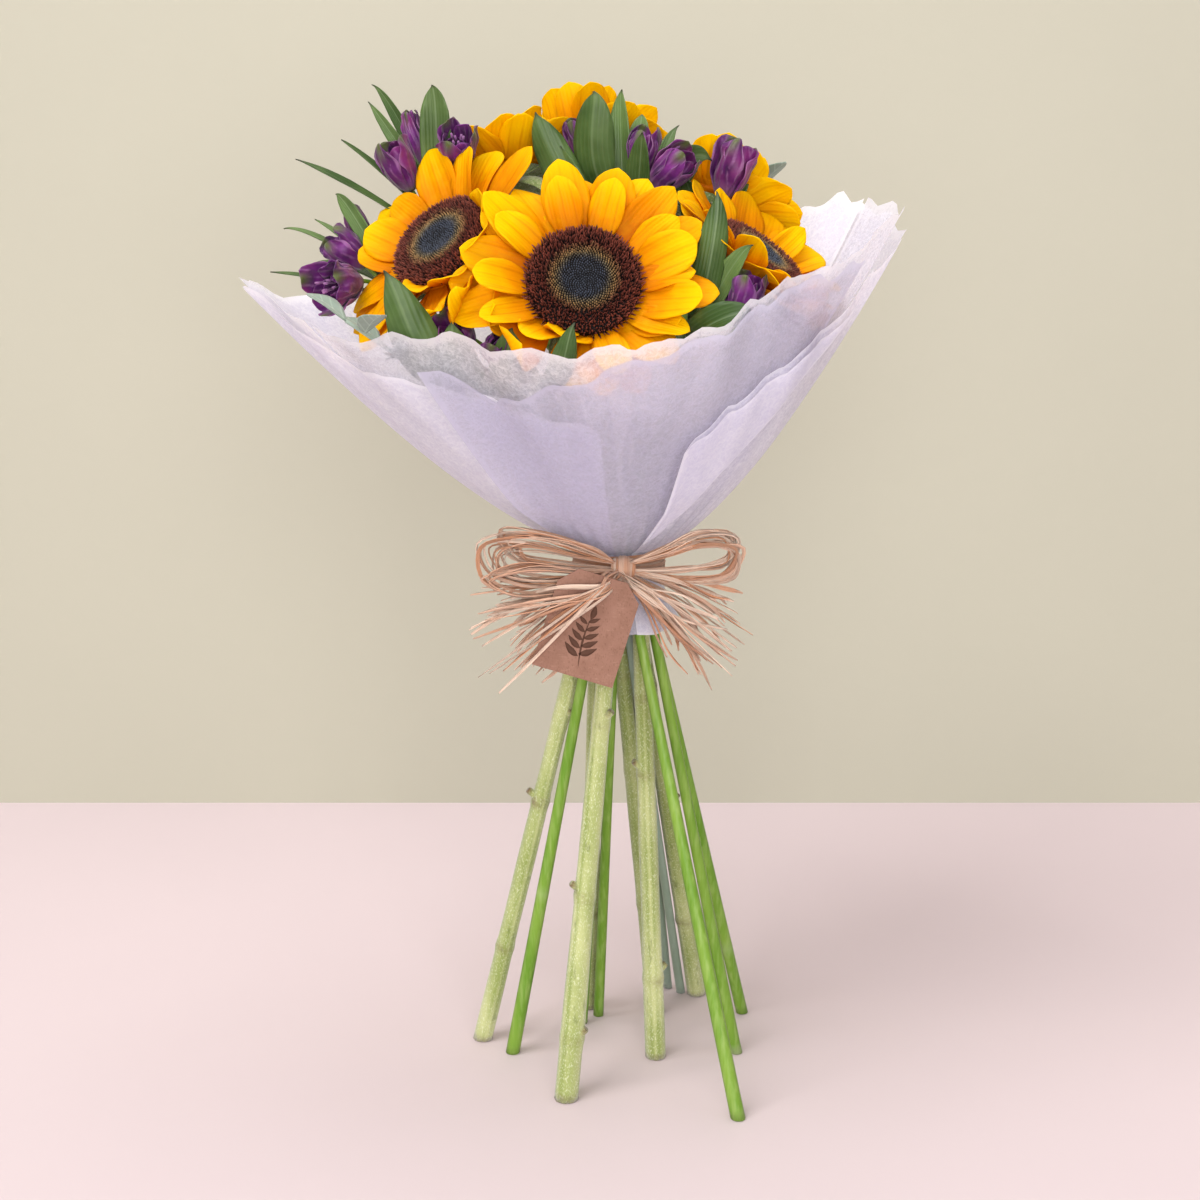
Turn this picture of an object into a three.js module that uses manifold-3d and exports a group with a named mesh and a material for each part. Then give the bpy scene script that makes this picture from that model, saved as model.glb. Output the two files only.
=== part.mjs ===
// A hand-tied bunch of sunflowers and purple alstroemeria in a white non-woven wrap.
// It stands on its splayed, flat-cut stems. Millimetres, +Z up, the front faces -Y.
// The origin is the middle of the footprint, on the surface that the stems stand on.
import * as THREE from 'three';
import { mergeVertices } from 'three/addons/utils/BufferGeometryUtils.js';
import Module from 'manifold-3d';

const wasm = await Module();
wasm.setup();

// ---------------------------------------------------------------- driving dimensions

const GAP = 0.3;                 // clearance between two pieces that touch
const AXIS_X = 10.4;             // the tie stands over this x, at y 0
const TIE_Z = 302;               // height of the tie
const MEET_Z = 292;              // where the straight lower stems have come together
const OUTER_RING = 13.25;        // radius of the ring of stems inside the tie
const SPREAD_Z = 311;            // where they part again above it

// A sunflower's stem: its radius inside the tie and at the neck, how far it runs straight up
// from the tie and straight in to the head, its swollen joints and its cut side shoots.
const STEM = { sides: 7, tieRadius: 4.5, neckRadius: 4.2, riseFromTie: 34, runToHead: 38,
  sinkInCup: 2, swelling: 1.1, stubRoot: 2.6, stubEnd: 2, stubReach: 5.5, stubRise: 0.9 };
const THIN_STEM = { sides: 6, riseFromTie: 14 };

// Sunflower heads: the measures that they share, in a head's own frame, disc facing +Z.
const HEAD = {
  plateTop: -GAP, plateBottom: -5.4, plateRadius: 0.97,    // radius as a share of the disc's
  calyxTop: -5.4 - GAP, calyxDepth: 13, neckRadius: 4.2,
  rayRoot: 0.86, rayLevels: [1.2, 3.9],                    // the two layers, over the plate's bottom
  rayWidth: 20.5, rayThickness: 1.2, rayTrough: 1.0,
  bractCount: 8, bractRoot: 0.7, bractDrop: 0.28,          // shares of the disc and of the cup's depth
  bractLength: 25, bractWidth: 11, bractThickness: 1.2, bractTrough: 0.8,
};

// foot: x, y on the surface. slot: angle in the ring of stems at the tie, in degrees.
const SUNFLOWERS = [
  { name: 'sunflower_1', foot: [-19, -39], slot: 258, footRadius: 6.9, centre: [-8, -76, 452],
    facing: [0.03, -0.88, 0.47], disc: 28, reach: 65, rays: [11, 8], lift: 0.22, seed: 11,
    joints: [34, 118, 215], stubs: [[34, 340], [118, 200], [215, 320]] },
  { name: 'sunflower_2', foot: [-71, 34], slot: 189, footRadius: 5.6, centre: [-78, -43, 470],
    facing: [-0.5, -0.58, 0.64], disc: 27.5, reach: 57, rays: [10, 7], lift: 0.1, seed: 23,
    joints: [62, 158, 208], stubs: [[158, 190], [208, 330]] },
  { name: 'sunflower_3', foot: [33, 11], slot: 327, footRadius: 6.1, centre: [80, -28, 462],
    facing: [0.56, -0.3, 0.77], disc: 26, reach: 54, rays: [10, 7], lift: 0.42, seed: 37,
    joints: [52, 180, 226], stubs: [[52, 20], [180, 200]] },
  { name: 'sunflower_4', foot: [-8, 77], slot: 146, footRadius: 5.6, centre: [-53, 42, 508],
    facing: [-0.34, 0.32, 0.88], disc: 25, reach: 52, rays: [10, 6], lift: 0.5, seed: 41,
    joints: [72, 150, 230], stubs: [[150, 90]] },
  { name: 'sunflower_5', foot: [35, 70], slot: 103, footRadius: 5.6, centre: [-8, 68, 514],
    facing: [0.05, 0.74, 0.67], disc: 25, reach: 52, rays: [10, 6], lift: 0.42, seed: 53,
    joints: [80, 170, 232], stubs: [[170, 80]] },
  { name: 'sunflower_6', foot: [62, 96], slot: 60, footRadius: 5.6, centre: [64, 42, 489],
    facing: [0.42, 0.5, 0.76], disc: 25, reach: 51, rays: [10, 6], lift: 0.45, seed: 67,
    joints: [58, 140, 222], stubs: [[140, 30]] },
];

// crown: where the leaves whorl. blooms: base, tip, how far open (0 bud to 1), girth.
// leaves: tip, width, how far the blade bows upwards.
const ALSTROEMERIAS = [
  { name: 'alstroemeria_1', foot: [-1, 65], ring: 4.06, slot: 104, footRadius: 3.2,
    route: [[4, 4, 362], [-14, 7, 400]], crown: [-90, 8, 486],
    blooms: [
      { name: 'bloom_1', base: [-99, 2, 499], tip: [-111, -7, 523], open: 0.35, girth: 8.5 },
      { name: 'bloom_2', base: [-93, 12, 512], tip: [-101, 11, 541], open: 0.1, girth: 5.5 },
      { name: 'bloom_3', base: [-73, 4, 511], tip: [-74, -17, 527], open: 0.6, girth: 8 },
    ],
    leaves: [
      [[-84, -6, 553], 15, 3], [[-99, 18, 554], 8, 2], [[-107, 16, 551], 7, 2],
      [[-119, 8, 542], 7, 3], [[-130, 3, 526], 7, 4], [[-148, -6, 512], 6, 5],
      [[-112, 34, 520], 9, 6], [[-69, 24, 521], 11, 6],
    ] },
  { name: 'alstroemeria_2', foot: [-11, 55], ring: 4.7, slot: 195, footRadius: 3.2,
    route: [[-10, 3, 362], [-30, 0, 392]], crown: [-112, -12, 450],
    blooms: [
      { name: 'bloom_4', base: [-124, -26, 452], tip: [-141, -48, 449], open: 0.9, girth: 9 },
      { name: 'bloom_5', base: [-123, -12, 460], tip: [-141, -16, 474], open: 0.4, girth: 8 },
      { name: 'bloom_6', base: [-122, 6, 468], tip: [-133, 8, 490], open: 0.1, girth: 5 },
    ],
    leaves: [
      [[-137, -4, 500], 8, 4], [[-150, 4, 484], 7, 4], [[-163, -10, 477], 8, 4],
      [[-163, -24, 457], 6, 4], [[-152, 20, 466], 9, 6],
    ] },
  { name: 'alstroemeria_3', foot: [-52, 16], ring: OUTER_RING, slot: 223.5, footRadius: 4.1,
    route: [], crown: [-50, -57, 408], leavesFirst: true,
    blooms: [
      { name: 'bloom_7', base: [-66, -70, 418], tip: [-73, -86, 434], open: 0.45, girth: 8 },
      { name: 'bloom_8', base: [-50, -74, 414], tip: [-48, -94, 428], open: 0.3, girth: 7 },
    ],
    leaves: [
      [[-98, -88, 455], 19, 3], [[-81, -104, 424], 10, 5], [[-31, -112, 421], 9, 5],
      [[-15, -121, 436], 10, 8], [[-104, -62, 420], 9, 5],
    ] },
  { name: 'alstroemeria_4', foot: [89, 69], ring: OUTER_RING, slot: 25.5, footRadius: 3.7,
    route: [[21.5, 3.5, 350]], crown: [12, 12, 494],
    blooms: [
      { name: 'bloom_9', base: [20, 3, 504], tip: [25, 2, 530], open: 0.3, girth: 7.5 },
      { name: 'bloom_10', base: [27, -1, 500], tip: [47, -14, 517], open: 0.45, girth: 8.5 },
      { name: 'bloom_11', base: [-2, 22, 507], tip: [-15, 22, 538], open: 0.3, girth: 7 },
    ],
    leaves: [
      [[0, -7, 552], 19, 2], [[10, 12, 549], 11, 3], [[23, 20, 541], 12, 3],
      [[-34, 6, 536], 14, 4], [[56, 8, 519], 12, 8], [[44, 30, 528], 9, 5],
      [[22, -26, 528], 13, 7], [[-22, 2, 520], 13, 7], [[14, 38, 534], 12, 4],
    ] },
  { name: 'alstroemeria_5', foot: [81, 16], ring: OUTER_RING, slot: 0.7, footRadius: 3.6,
    route: [], crown: [56, 16, 476],
    blooms: [
      { name: 'bloom_12', base: [65, 9, 494], tip: [75, 6, 524], open: 0.3, girth: 9 },
      { name: 'bloom_13', base: [32, 40, 486], tip: [27, 54, 512], open: 0.4, girth: 8 },
    ],
    leaves: [
      [[52, 40, 522], 10, 5], [[88, 22, 500], 9, 6], [[48, 4, 507], 11, 5],
      [[96, 4, 508], 9, 5],
    ] },
  { name: 'alstroemeria_6', foot: [76, -61], ring: OUTER_RING, slot: 292.5, footRadius: 4.1,
    route: [], crown: [46, -52, 424], leavesFirst: true,
    blooms: [
      { name: 'bloom_14', base: [46, -62, 452], tip: [48, -63, 476], open: 0.1, girth: 6 },
      { name: 'bloom_15', base: [68, -62, 432], tip: [74, -68, 457], open: 0.4, girth: 8.5 },
    ],
    leaves: [
      [[59, -74, 494], 15, 3], [[73, -96, 441], 13, 6], [[78, -80, 468], 10, 4],
      [[36, -92, 432], 9, 5],
    ] },
];

// sprig: the leafy run above the last bend, ending at the tip.
const EUCALYPTUS = [
  { name: 'eucalyptus_1', foot: [52, 98], ring: 5.2, slot: 277, seed: 139,
    route: [[5, -4, 336], [-22, -20, 362], [-60, -44, 387], [-95, -72, 414]],
    tip: [-121, -96, 435], leaves: 9 },
  { name: 'eucalyptus_2', foot: [44, 105], ring: 5.2, slot: 0, seed: 137,
    route: [[14, 14, 354], [22, 40, 385], [45, 70, 430], [70, 86, 468]],
    tip: [92, 96, 502], leaves: 9 },
];

// Rim of the wrap: radius and height every 30 degrees round the tie, from the right.
const WRAP_RIM = [
  [150, 489], [152, 497], [134, 484], [118, 462], [130, 446], [170, 438],
  [201, 454], [160, 430], [139, 428], [140, 424], [125, 446], [126, 467],
];
const WRAP = {
  tieRadius: 18.6, thickness: 0.8, flareZ: 308.5, hemZ: 266, skirtFlare: 11,
  tieLayer: 1.3, rimLayer: 2.4,                            // spacing of the layers
  bowl: 0.86, ripples: 9, rippleHeight: 3.2, column: 1 / 30,
  skirtStart: 0.33,                                        // share of the way down to the hem
  levels: [-1, -0.33, 0, 0.2, 0.42, 0.72, 1],
  common: 0.42,                                            // up to here the rows are alike
  scallop: 0.02, scallops: 23,
};
// from, to: the sheet's edges, in columns of the wrap from the right round the back.
// rim: how far up it reaches, as shares of the full slope at even steps across the sheet.
const SHEETS = [
  { name: 'wrap_back', from: 2, to: 16.9, layer: 0, rim: [1, 1] },
  { name: 'wrap_inner', from: 17, to: 31.9, layer: 0, rim: [1, 1] },
  { name: 'wrap_left', from: 13, to: 22, layer: 1, rim: [1, 0.98, 0.82, 0.72] },
  { name: 'wrap_front', from: 19, to: 28, layer: 2,
    rim: [0.95, 0.8, 0.88, 0.94, 0.98, 1, 1, 1, 1, 1] },
  { name: 'wrap_right', from: 24, to: 34, layer: 3, rim: [0.62, 0.72, 0.84, 0.96, 1, 1] },
];

const TIE = { innerRadius: 23.6, outerRadius: 25.6, height: 11, segments: 18 };
const KNOT = { centre: [12, -32.8, 302], radius: [8, 7, 7], loopRoot: [4, 0.3, 0.35], tailRoot: 4.5 };
const TAG = { width: 44, height: 56, thickness: 0.8, chamfer: 9, holeRadius: 2.4, holeDrop: 6,
  hole: [0, -53.2, 297], lean: 17 };

const COLOUR = {
  sunflowerStem: 0x9aad62, alstroemeriaStem: 0x5f9a32, ray: 0xf7b50c, disc: 0x3a211c,
  bloom: 0x54207a, eucalyptus: 0x7d9a86, wrap: 0xe9e6f1, raffia: 0xd3a983, card: 0xa9784f,
};

// ---------------------------------------------------------------- small helpers

const UP = new THREE.Vector3(0, 0, 1);

function vec(coordinates) {
  return new THREE.Vector3(...coordinates);
}

function degrees(angle) {
  return THREE.MathUtils.degToRad(angle);
}

// A seeded draw between low and high, the same on every run.
function makeRandom(seed) {
  let state = seed;
  return (low, high) => {
    state = (state * 16807) % 2147483647;
    return low + (high - low) * (state / 2147483647);
  };
}

function onRing(radius, angle, z) {
  return new THREE.Vector3(
    AXIS_X + radius * Math.cos(degrees(angle)), radius * Math.sin(degrees(angle)), z);
}

// ---------------------------------------------------------------- solids

function volumeOf(points, triangles) {
  let sum = 0;
  for (const [a, b, c] of triangles) {
    sum += points[a].dot(points[b].clone().cross(points[c]));
  }
  return sum / 6;
}

function solidOf(points, triangles) {
  const outward = volumeOf(points, triangles) > 0;
  const facing = outward ? triangles : triangles.map(([a, b, c]) => [a, c, b]);
  const vertProperties = new Float32Array(points.flatMap((p) => p.toArray()));
  const triVerts = new Uint32Array(facing.flat());
  return new wasm.Manifold(new wasm.Mesh({ numProp: 3, vertProperties, triVerts }));
}

function solidFromGeometry(source, matrix = new THREE.Matrix4()) {
  const bare = source.index ? source.toNonIndexed() : source.clone();
  bare.deleteAttribute('normal');
  bare.deleteAttribute('uv');
  bare.applyMatrix4(matrix);
  const merged = mergeVertices(bare, 1e-4);
  const position = merged.getAttribute('position');
  const points = [];
  for (let i = 0; i < position.count; i += 1) {
    points.push(new THREE.Vector3().fromBufferAttribute(position, i));
  }
  const triangles = [];
  for (let i = 0; i < merged.index.count; i += 3) {
    const corner = [0, 1, 2].map((k) => merged.index.getX(i + k));
    if (new Set(corner).size === 3) {
      triangles.push(corner);
    }
  }
  return solidOf(points, triangles);
}

// Rings of the same number of points, closed by a fan to a point at each end.
// flips says which four-sided faces are split along their other diagonal, by row and side.
function loft(rings, start, end, flips = () => false) {
  const sides = rings[0].length;
  const points = [...rings.flat(), start, end];
  const startIndex = points.length - 2;
  const endIndex = points.length - 1;
  const triangles = [];
  for (let i = 0; i + 1 < rings.length; i += 1) {
    for (let j = 0; j < sides; j += 1) {
      const k = (j + 1) % sides;
      const [a, b, c, d] = [i * sides + j, i * sides + k, (i + 1) * sides + k, (i + 1) * sides + j];
      if (flips(i, j)) {
        triangles.push([a, b, d], [b, c, d]);
      } else {
        triangles.push([a, b, c], [a, c, d]);
      }
    }
  }
  const last = (rings.length - 1) * sides;
  for (let j = 0; j < sides; j += 1) {
    const k = (j + 1) % sides;
    triangles.push([startIndex, k, j], [endIndex, last + j, last + k]);
  }
  return solidOf(points, triangles);
}

// Splits the opposite faces of a blade or strand with four sides along the same diagonals.
function alikeOnBothFaces(row, side) {
  return side === 1 || side === 3;
}

// A tapered round tube through stations, each a place on a curve with a radius.
// onFloor cuts its first end level, at z 0.
function tube(stations, sides, onFloor = false) {
  const side = new THREE.Vector3(1, 0, 0);
  const rings = stations.map(({ curve, at, radius }, index) => {
    const centre = curve.getPoint(at);
    const along = curve.getTangent(at).normalize();
    side.addScaledVector(along, -side.dot(along)).normalize();
    const across = along.clone().cross(side);
    return Array.from({ length: sides }, (_, j) => {
      const angle = (2 * Math.PI * j) / sides;
      const point = centre.clone();
      point.addScaledVector(side, radius * Math.cos(angle));
      point.addScaledVector(across, radius * Math.sin(angle));
      if (onFloor && index === 0) {
        point.addScaledVector(along, -point.z / along.z);
      }
      return point;
    });
  });
  const first = stations[0];
  const last = stations[stations.length - 1];
  return loft(rings, first.curve.getPoint(first.at), last.curve.getPoint(last.at));
}

// A thin blade along a bent spine, thickest at its rib, with a pointed tip.
// profile: place along the spine and share of the full width. grow fattens it all round.
function blade(shape, grow = 0) {
  const { base, bend, tip, face, width, thickness, trough = 0, twist = 0, profile } = shape;
  const spine = new THREE.QuadraticBezierCurve3(base, bend, tip);
  const rings = profile.map(([at, share]) => {
    const centre = spine.getPoint(at);
    const along = spine.getTangent(at).normalize();
    const normal = face.clone().addScaledVector(along, -face.dot(along)).normalize();
    normal.applyAxisAngle(along, twist * at);
    const side = normal.clone().cross(along);
    const half = (width * share) / 2;
    const rib = thickness / 2 + grow;
    const place = (across, high) => centre.clone()
      .addScaledVector(side, across).addScaledVector(normal, high);
    const edge = trough * share;
    if (grow === 0) {
      return [place(-half, edge), place(0, -rib), place(half, edge), place(0, rib)];
    }
    return [place(-half - grow, edge - grow), place(0, -rib), place(half + grow, edge - grow),
      place(half + grow, edge + grow), place(0, rib), place(-half - grow, edge + grow)];
  });
  const end = tip.clone().addScaledVector(spine.getTangent(1).normalize(), 1.5 * grow);
  const flips = grow === 0 ? alikeOnBothFaces : undefined;
  return loft(rings, spine.getPoint(profile[0][0]), end, flips);
}

function boxesMeet(a, b) {
  return [0, 1, 2].every((i) => a.min[i] < b.max[i] && b.min[i] < a.max[i]);
}

// Every solid that later blades keep clear of, by the node that it belongs to.
const placed = [];

function reserve(node, solid) {
  placed.push({ node, solid, box: solid.boundingBox() });
}

function isClear(node, solid) {
  const box = solid.boundingBox();
  return placed.every((other) => other.node === node || !boxesMeet(box, other.box)
    || solid.intersect(other.solid).isEmpty());
}

// The first shape in the list that stays clear of all other nodes, or none.
function firstClear(node, shapes) {
  const shape = shapes.find((candidate) => isClear(node, blade(candidate, GAP)));
  return shape ? blade(shape) : null;
}

function fuse(parts) {
  return parts.reduce((whole, part) => whole.add(part));
}

// The largest body of a solid: crossings can cut a scrap off a blade.
function largestBody(solid) {
  return solid.decompose().reduce((best, body) => (body.volume() > best.volume() ? body : best));
}

function meshOf(name, solid, colour, roughness) {
  const { vertProperties, triVerts } = largestBody(solid).getMesh();
  const geometry = new THREE.BufferGeometry();
  geometry.setAttribute('position', new THREE.BufferAttribute(new Float32Array(vertProperties), 3));
  geometry.setIndex(new THREE.BufferAttribute(new Uint32Array(triVerts), 1));
  const material = new THREE.MeshStandardMaterial({ color: colour, roughness, metalness: 0 });
  const mesh = new THREE.Mesh(geometry, material);
  mesh.name = name;
  return mesh;
}

// ---------------------------------------------------------------- the wrap

const rimCurve = new THREE.CatmullRomCurve3(
  WRAP_RIM.map(([radius, height], i) => onRing(radius, 30 * i, height)), true);

// A point of the wrap: turn round the tie, rise from the tie (0) to the rim (1), layer.
// A negative rise is below the flare: the gathered band, then the skirt.
function wrapPoint(turn, rise, layer, depth) {
  const rim = rimCurve.getPoint(((turn % 1) + 1) % 1);
  const outward = new THREE.Vector3(rim.x - AXIS_X, rim.y, 0);
  const rimRadius = outward.length();
  outward.normalize();
  const up = Math.max(rise, 0);
  const down = Math.max(-rise, 0);
  const skirt = Math.max(0, down - WRAP.skirtStart) / (1 - WRAP.skirtStart);
  const radius = WRAP.tieRadius + (rimRadius - WRAP.tieRadius) * up ** WRAP.bowl
    + WRAP.skirtFlare * skirt ** 1.3;
  const z = WRAP.flareZ + (rim.z - WRAP.flareZ) * up ** (2 - WRAP.bowl)
    - (WRAP.flareZ - WRAP.hemZ) * down;
  const slope = Math.min(up * 2, 1) * degrees(45);
  const normal = outward.clone().multiplyScalar(Math.cos(slope)).addScaledVector(UP, -Math.sin(slope));
  const ripple = WRAP.rippleHeight * up ** 3 * Math.sin(2 * Math.PI * WRAP.ripples * turn);
  const spacing = WRAP.tieLayer + (WRAP.rimLayer - WRAP.tieLayer) * Math.min(1, 3 * up);
  const point = new THREE.Vector3(AXIS_X, 0, z).addScaledVector(outward, radius);
  return point.addScaledVector(normal, ripple + layer * spacing + depth);
}

// How far up a sheet's edge reaches at a share of its width.
function sheetTop(sheet, share) {
  const place = share * (sheet.rim.length - 1);
  const step = Math.min(Math.floor(place), sheet.rim.length - 2);
  const reach = THREE.MathUtils.lerp(sheet.rim[step], sheet.rim[step + 1], place - step);
  return reach - WRAP.scallop * Math.sin(share * WRAP.scallops) ** 2;
}

// One sheet: the same grid of points on both faces, joined along its four edges.
function wrapSheet(sheet) {
  const width = sheet.to - sheet.from;
  const columns = Math.ceil(width);
  const rows = WRAP.levels.length;
  const points = [];
  for (const depth of [-WRAP.thickness / 2, WRAP.thickness / 2]) {
    for (let i = 0; i <= columns; i += 1) {
      const top = sheetTop(sheet, i / columns);
      for (const level of WRAP.levels) {
        const share = Math.max(0, level - WRAP.common) / (1 - WRAP.common);
        const rise = Math.min(level, WRAP.common) + share * (top - WRAP.common);
        const turn = (sheet.from + (i * width) / columns) * WRAP.column;
        points.push(wrapPoint(turn, rise, sheet.layer, depth));
      }
    }
  }
  const outer = (columns + 1) * rows;
  const index = (i, j) => i * rows + j;
  const triangles = [];
  const wall = (a, b) => triangles.push([a, b, outer + b], [a, outer + b, outer + a]);
  for (let i = 0; i < columns; i += 1) {
    for (let j = 0; j + 1 < rows; j += 1) {
      const [a, b, c, d] = [index(i, j), index(i + 1, j), index(i + 1, j + 1), index(i, j + 1)];
      triangles.push([a, c, b], [a, d, c]);
      triangles.push([outer + a, outer + b, outer + c], [outer + a, outer + c, outer + d]);
    }
    wall(index(i, 0), index(i + 1, 0));
    wall(index(i + 1, rows - 1), index(i, rows - 1));
  }
  for (let j = 0; j + 1 < rows; j += 1) {
    wall(index(0, j + 1), index(0, j));
    wall(index(columns, j), index(columns, j + 1));
  }
  return solidOf(points, triangles);
}

// ---------------------------------------------------------------- the raffia and the tag

function tieBand() {
  const half = TIE.height / 2;
  const profile = [
    new THREE.Vector2(TIE.innerRadius, -half), new THREE.Vector2(TIE.outerRadius, -half * 0.8),
    new THREE.Vector2(TIE.outerRadius, half * 0.8), new THREE.Vector2(TIE.innerRadius, half),
    new THREE.Vector2(TIE.innerRadius, -half),
  ];
  const ring = new THREE.LatheGeometry(profile, TIE.segments);
  ring.rotateX(Math.PI / 2);
  ring.translate(AXIS_X, 0, TIE_Z);
  return solidFromGeometry(ring);
}

// A flat strand of raffia along a list of points, wide across the given direction.
function strand(points, wide, width, thickness) {
  const curve = new THREE.CatmullRomCurve3(points);
  const stations = points.length;
  const rings = Array.from({ length: stations + 1 }, (_, i) => {
    const at = i / stations;
    const centre = curve.getPoint(at);
    const along = curve.getTangent(at).normalize();
    const side = wide.clone().addScaledVector(along, -wide.dot(along)).normalize();
    const normal = along.clone().cross(side);
    const place = (across, high) => centre.clone()
      .addScaledVector(side, (across * width) / 2).addScaledVector(normal, (high * thickness) / 2);
    return [place(-1, 0), place(0, -1), place(1, 0), place(0, 1)];
  });
  return loft(rings, curve.getPoint(0), curve.getPoint(1), alikeOnBothFaces);
}

// Loops and tails of the bow, as offsets from the knot. The back of each passes the wrap.
const LOOPS = [
  { points: [[-22, -10, 9], [-50, -14, 15], [-70, -12, 10], [-62, -15, 1], [-30, -10, -3]], width: 6 },
  { points: [[-20, -14, 2], [-52, -22, 5], [-72, -22, -1], [-58, -22, -9], [-26, -14, -9]], width: 6 },
  { points: [[-18, -12, 14], [-42, -16, 21], [-63, -12, 20], [-58, -12, 11], [-28, -12, 5]], width: 4 },
  { points: [[22, -10, 7], [44, -14, 12], [60, -14, 9], [50, -17, -1], [24, -11, -3]], width: 6 },
  { points: [[20, -13, 12], [40, -15, 18], [57, -13, 17], [54, -13, 9], [26, -12, 4]], width: 4 },
];
const TAILS = [
  [[-30, -6, -8], [-78, -8, -28]], [[-28, -9, -12], [-70, -11, -42]], [[-22, -6, -14], [-62, -8, -54]],
  [[-26, -12, -4], [-80, -14, -14]], [[-16, -8, -18], [-46, -11, -58]],
  [[28, -6, -7], [66, -8, -27]], [[24, -9, -12], [58, -13, -40]], [[18, -6, -16], [46, -8, -54]],
  [[28, -13, -3], [60, -18, -16]], [[14, -9, -18], [34, -12, -50]],
];
const RAFFIA = { thickness: 1.4, tailWidth: 3.6, threadWidth: 1.8 };

function bow() {
  const knot = vec(KNOT.centre);
  const ball = new THREE.SphereGeometry(1, 8, 6);
  ball.scale(...KNOT.radius);
  ball.translate(...KNOT.centre);
  const parts = [solidFromGeometry(ball)];
  const wide = new THREE.Vector3(0, 1, 0.15);
  const rootShare = vec(KNOT.loopRoot);
  for (const { points, width } of LOOPS) {
    const side = Math.sign(points[0][0]);
    const [first, last] = [points[0], points[points.length - 1]];
    const [start, end] = [first, last].map(
      (point) => knot.clone().add(new THREE.Vector3(side, point[1], point[2]).multiply(rootShare)));
    const route = [start, ...points.map((p) => knot.clone().add(vec(p))), end];
    parts.push(strand(route, wide, width, RAFFIA.thickness));
  }
  for (const [middle, tip] of TAILS) {
    const bend = knot.clone().add(vec(middle));
    parts.push(blade({
      base: knot.clone().add(vec(middle).setLength(KNOT.tailRoot)), bend, tip: knot.clone().add(vec(tip)),
      face: new THREE.Vector3(0, -1, 0.2),
      width: RAFFIA.tailWidth, thickness: RAFFIA.thickness,
      profile: [[0, 0.8], [0.6, 1]],
    }));
  }
  return fuse([...parts, tagThread()]);
}

// The thin strand that the tag hangs on: from the knot, through the tag's hole, and back.
function tagThread() {
  const knot = vec(KNOT.centre);
  const hole = vec(TAG.hole);
  const route = [
    knot.clone().add(new THREE.Vector3(-2, -4, 0)),
    hole.clone().add(new THREE.Vector3(3, -4.5, 5)),
    hole.clone().add(new THREE.Vector3(0.4, -3.2, 0.6)),
    hole.clone().add(new THREE.Vector3(0, 3, -0.2)),
    hole.clone().add(new THREE.Vector3(2, 5, 6)),
    knot.clone().add(new THREE.Vector3(-3, -2, -2)),
  ];
  return strand(route, new THREE.Vector3(1, 0, 0.2), RAFFIA.threadWidth, RAFFIA.thickness);
}

function tag() {
  const half = TAG.width / 2;
  const shape = new THREE.Shape([
    new THREE.Vector2(-half, -TAG.height), new THREE.Vector2(half, -TAG.height),
    new THREE.Vector2(half, -TAG.chamfer), new THREE.Vector2(half - TAG.chamfer, 0),
    new THREE.Vector2(-half + TAG.chamfer, 0), new THREE.Vector2(-half, -TAG.chamfer),
  ]);
  const hole = new THREE.Path();
  hole.absarc(0, -TAG.holeDrop, TAG.holeRadius, 0, 2 * Math.PI);
  shape.holes.push(hole);
  const card = new THREE.ExtrudeGeometry(shape,
    { depth: TAG.thickness, bevelEnabled: false, curveSegments: 10 });
  card.translate(0, TAG.holeDrop, -TAG.thickness / 2);
  card.rotateX(Math.PI / 2);
  card.rotateY(degrees(TAG.lean));
  card.translate(...TAG.hole);
  return solidFromGeometry(card);
}

// ---------------------------------------------------------------- sunflowers

function headMatrix(flower) {
  const turn = new THREE.Quaternion().setFromUnitVectors(UP, vec(flower.facing).normalize());
  return new THREE.Matrix4().compose(vec(flower.centre), turn, new THREE.Vector3(1, 1, 1));
}

function lathe(profile, segments, matrix) {
  const geometry = new THREE.LatheGeometry(profile.map(([r, z]) => new THREE.Vector2(r, z)), segments);
  geometry.rotateX(Math.PI / 2);
  return solidFromGeometry(geometry, matrix);
}

// Straight from the cut to the tie, then a bend that brings it in behind the head.
function sunflowerRoute(flower) {
  const waist = onRing(OUTER_RING, flower.slot, MEET_Z);
  const above = onRing(OUTER_RING, flower.slot, SPREAD_Z);
  const facing = vec(flower.facing).normalize();
  const neck = vec(flower.centre)
    .addScaledVector(facing, HEAD.calyxTop - HEAD.calyxDepth + STEM.sinkInCup);
  return {
    lower: new THREE.LineCurve3(new THREE.Vector3(...flower.foot, 0), waist),
    upper: new THREE.CubicBezierCurve3(above, above.clone().addScaledVector(UP, STEM.riseFromTie),
      neck.clone().addScaledVector(facing, -STEM.runToHead), neck),
  };
}

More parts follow.
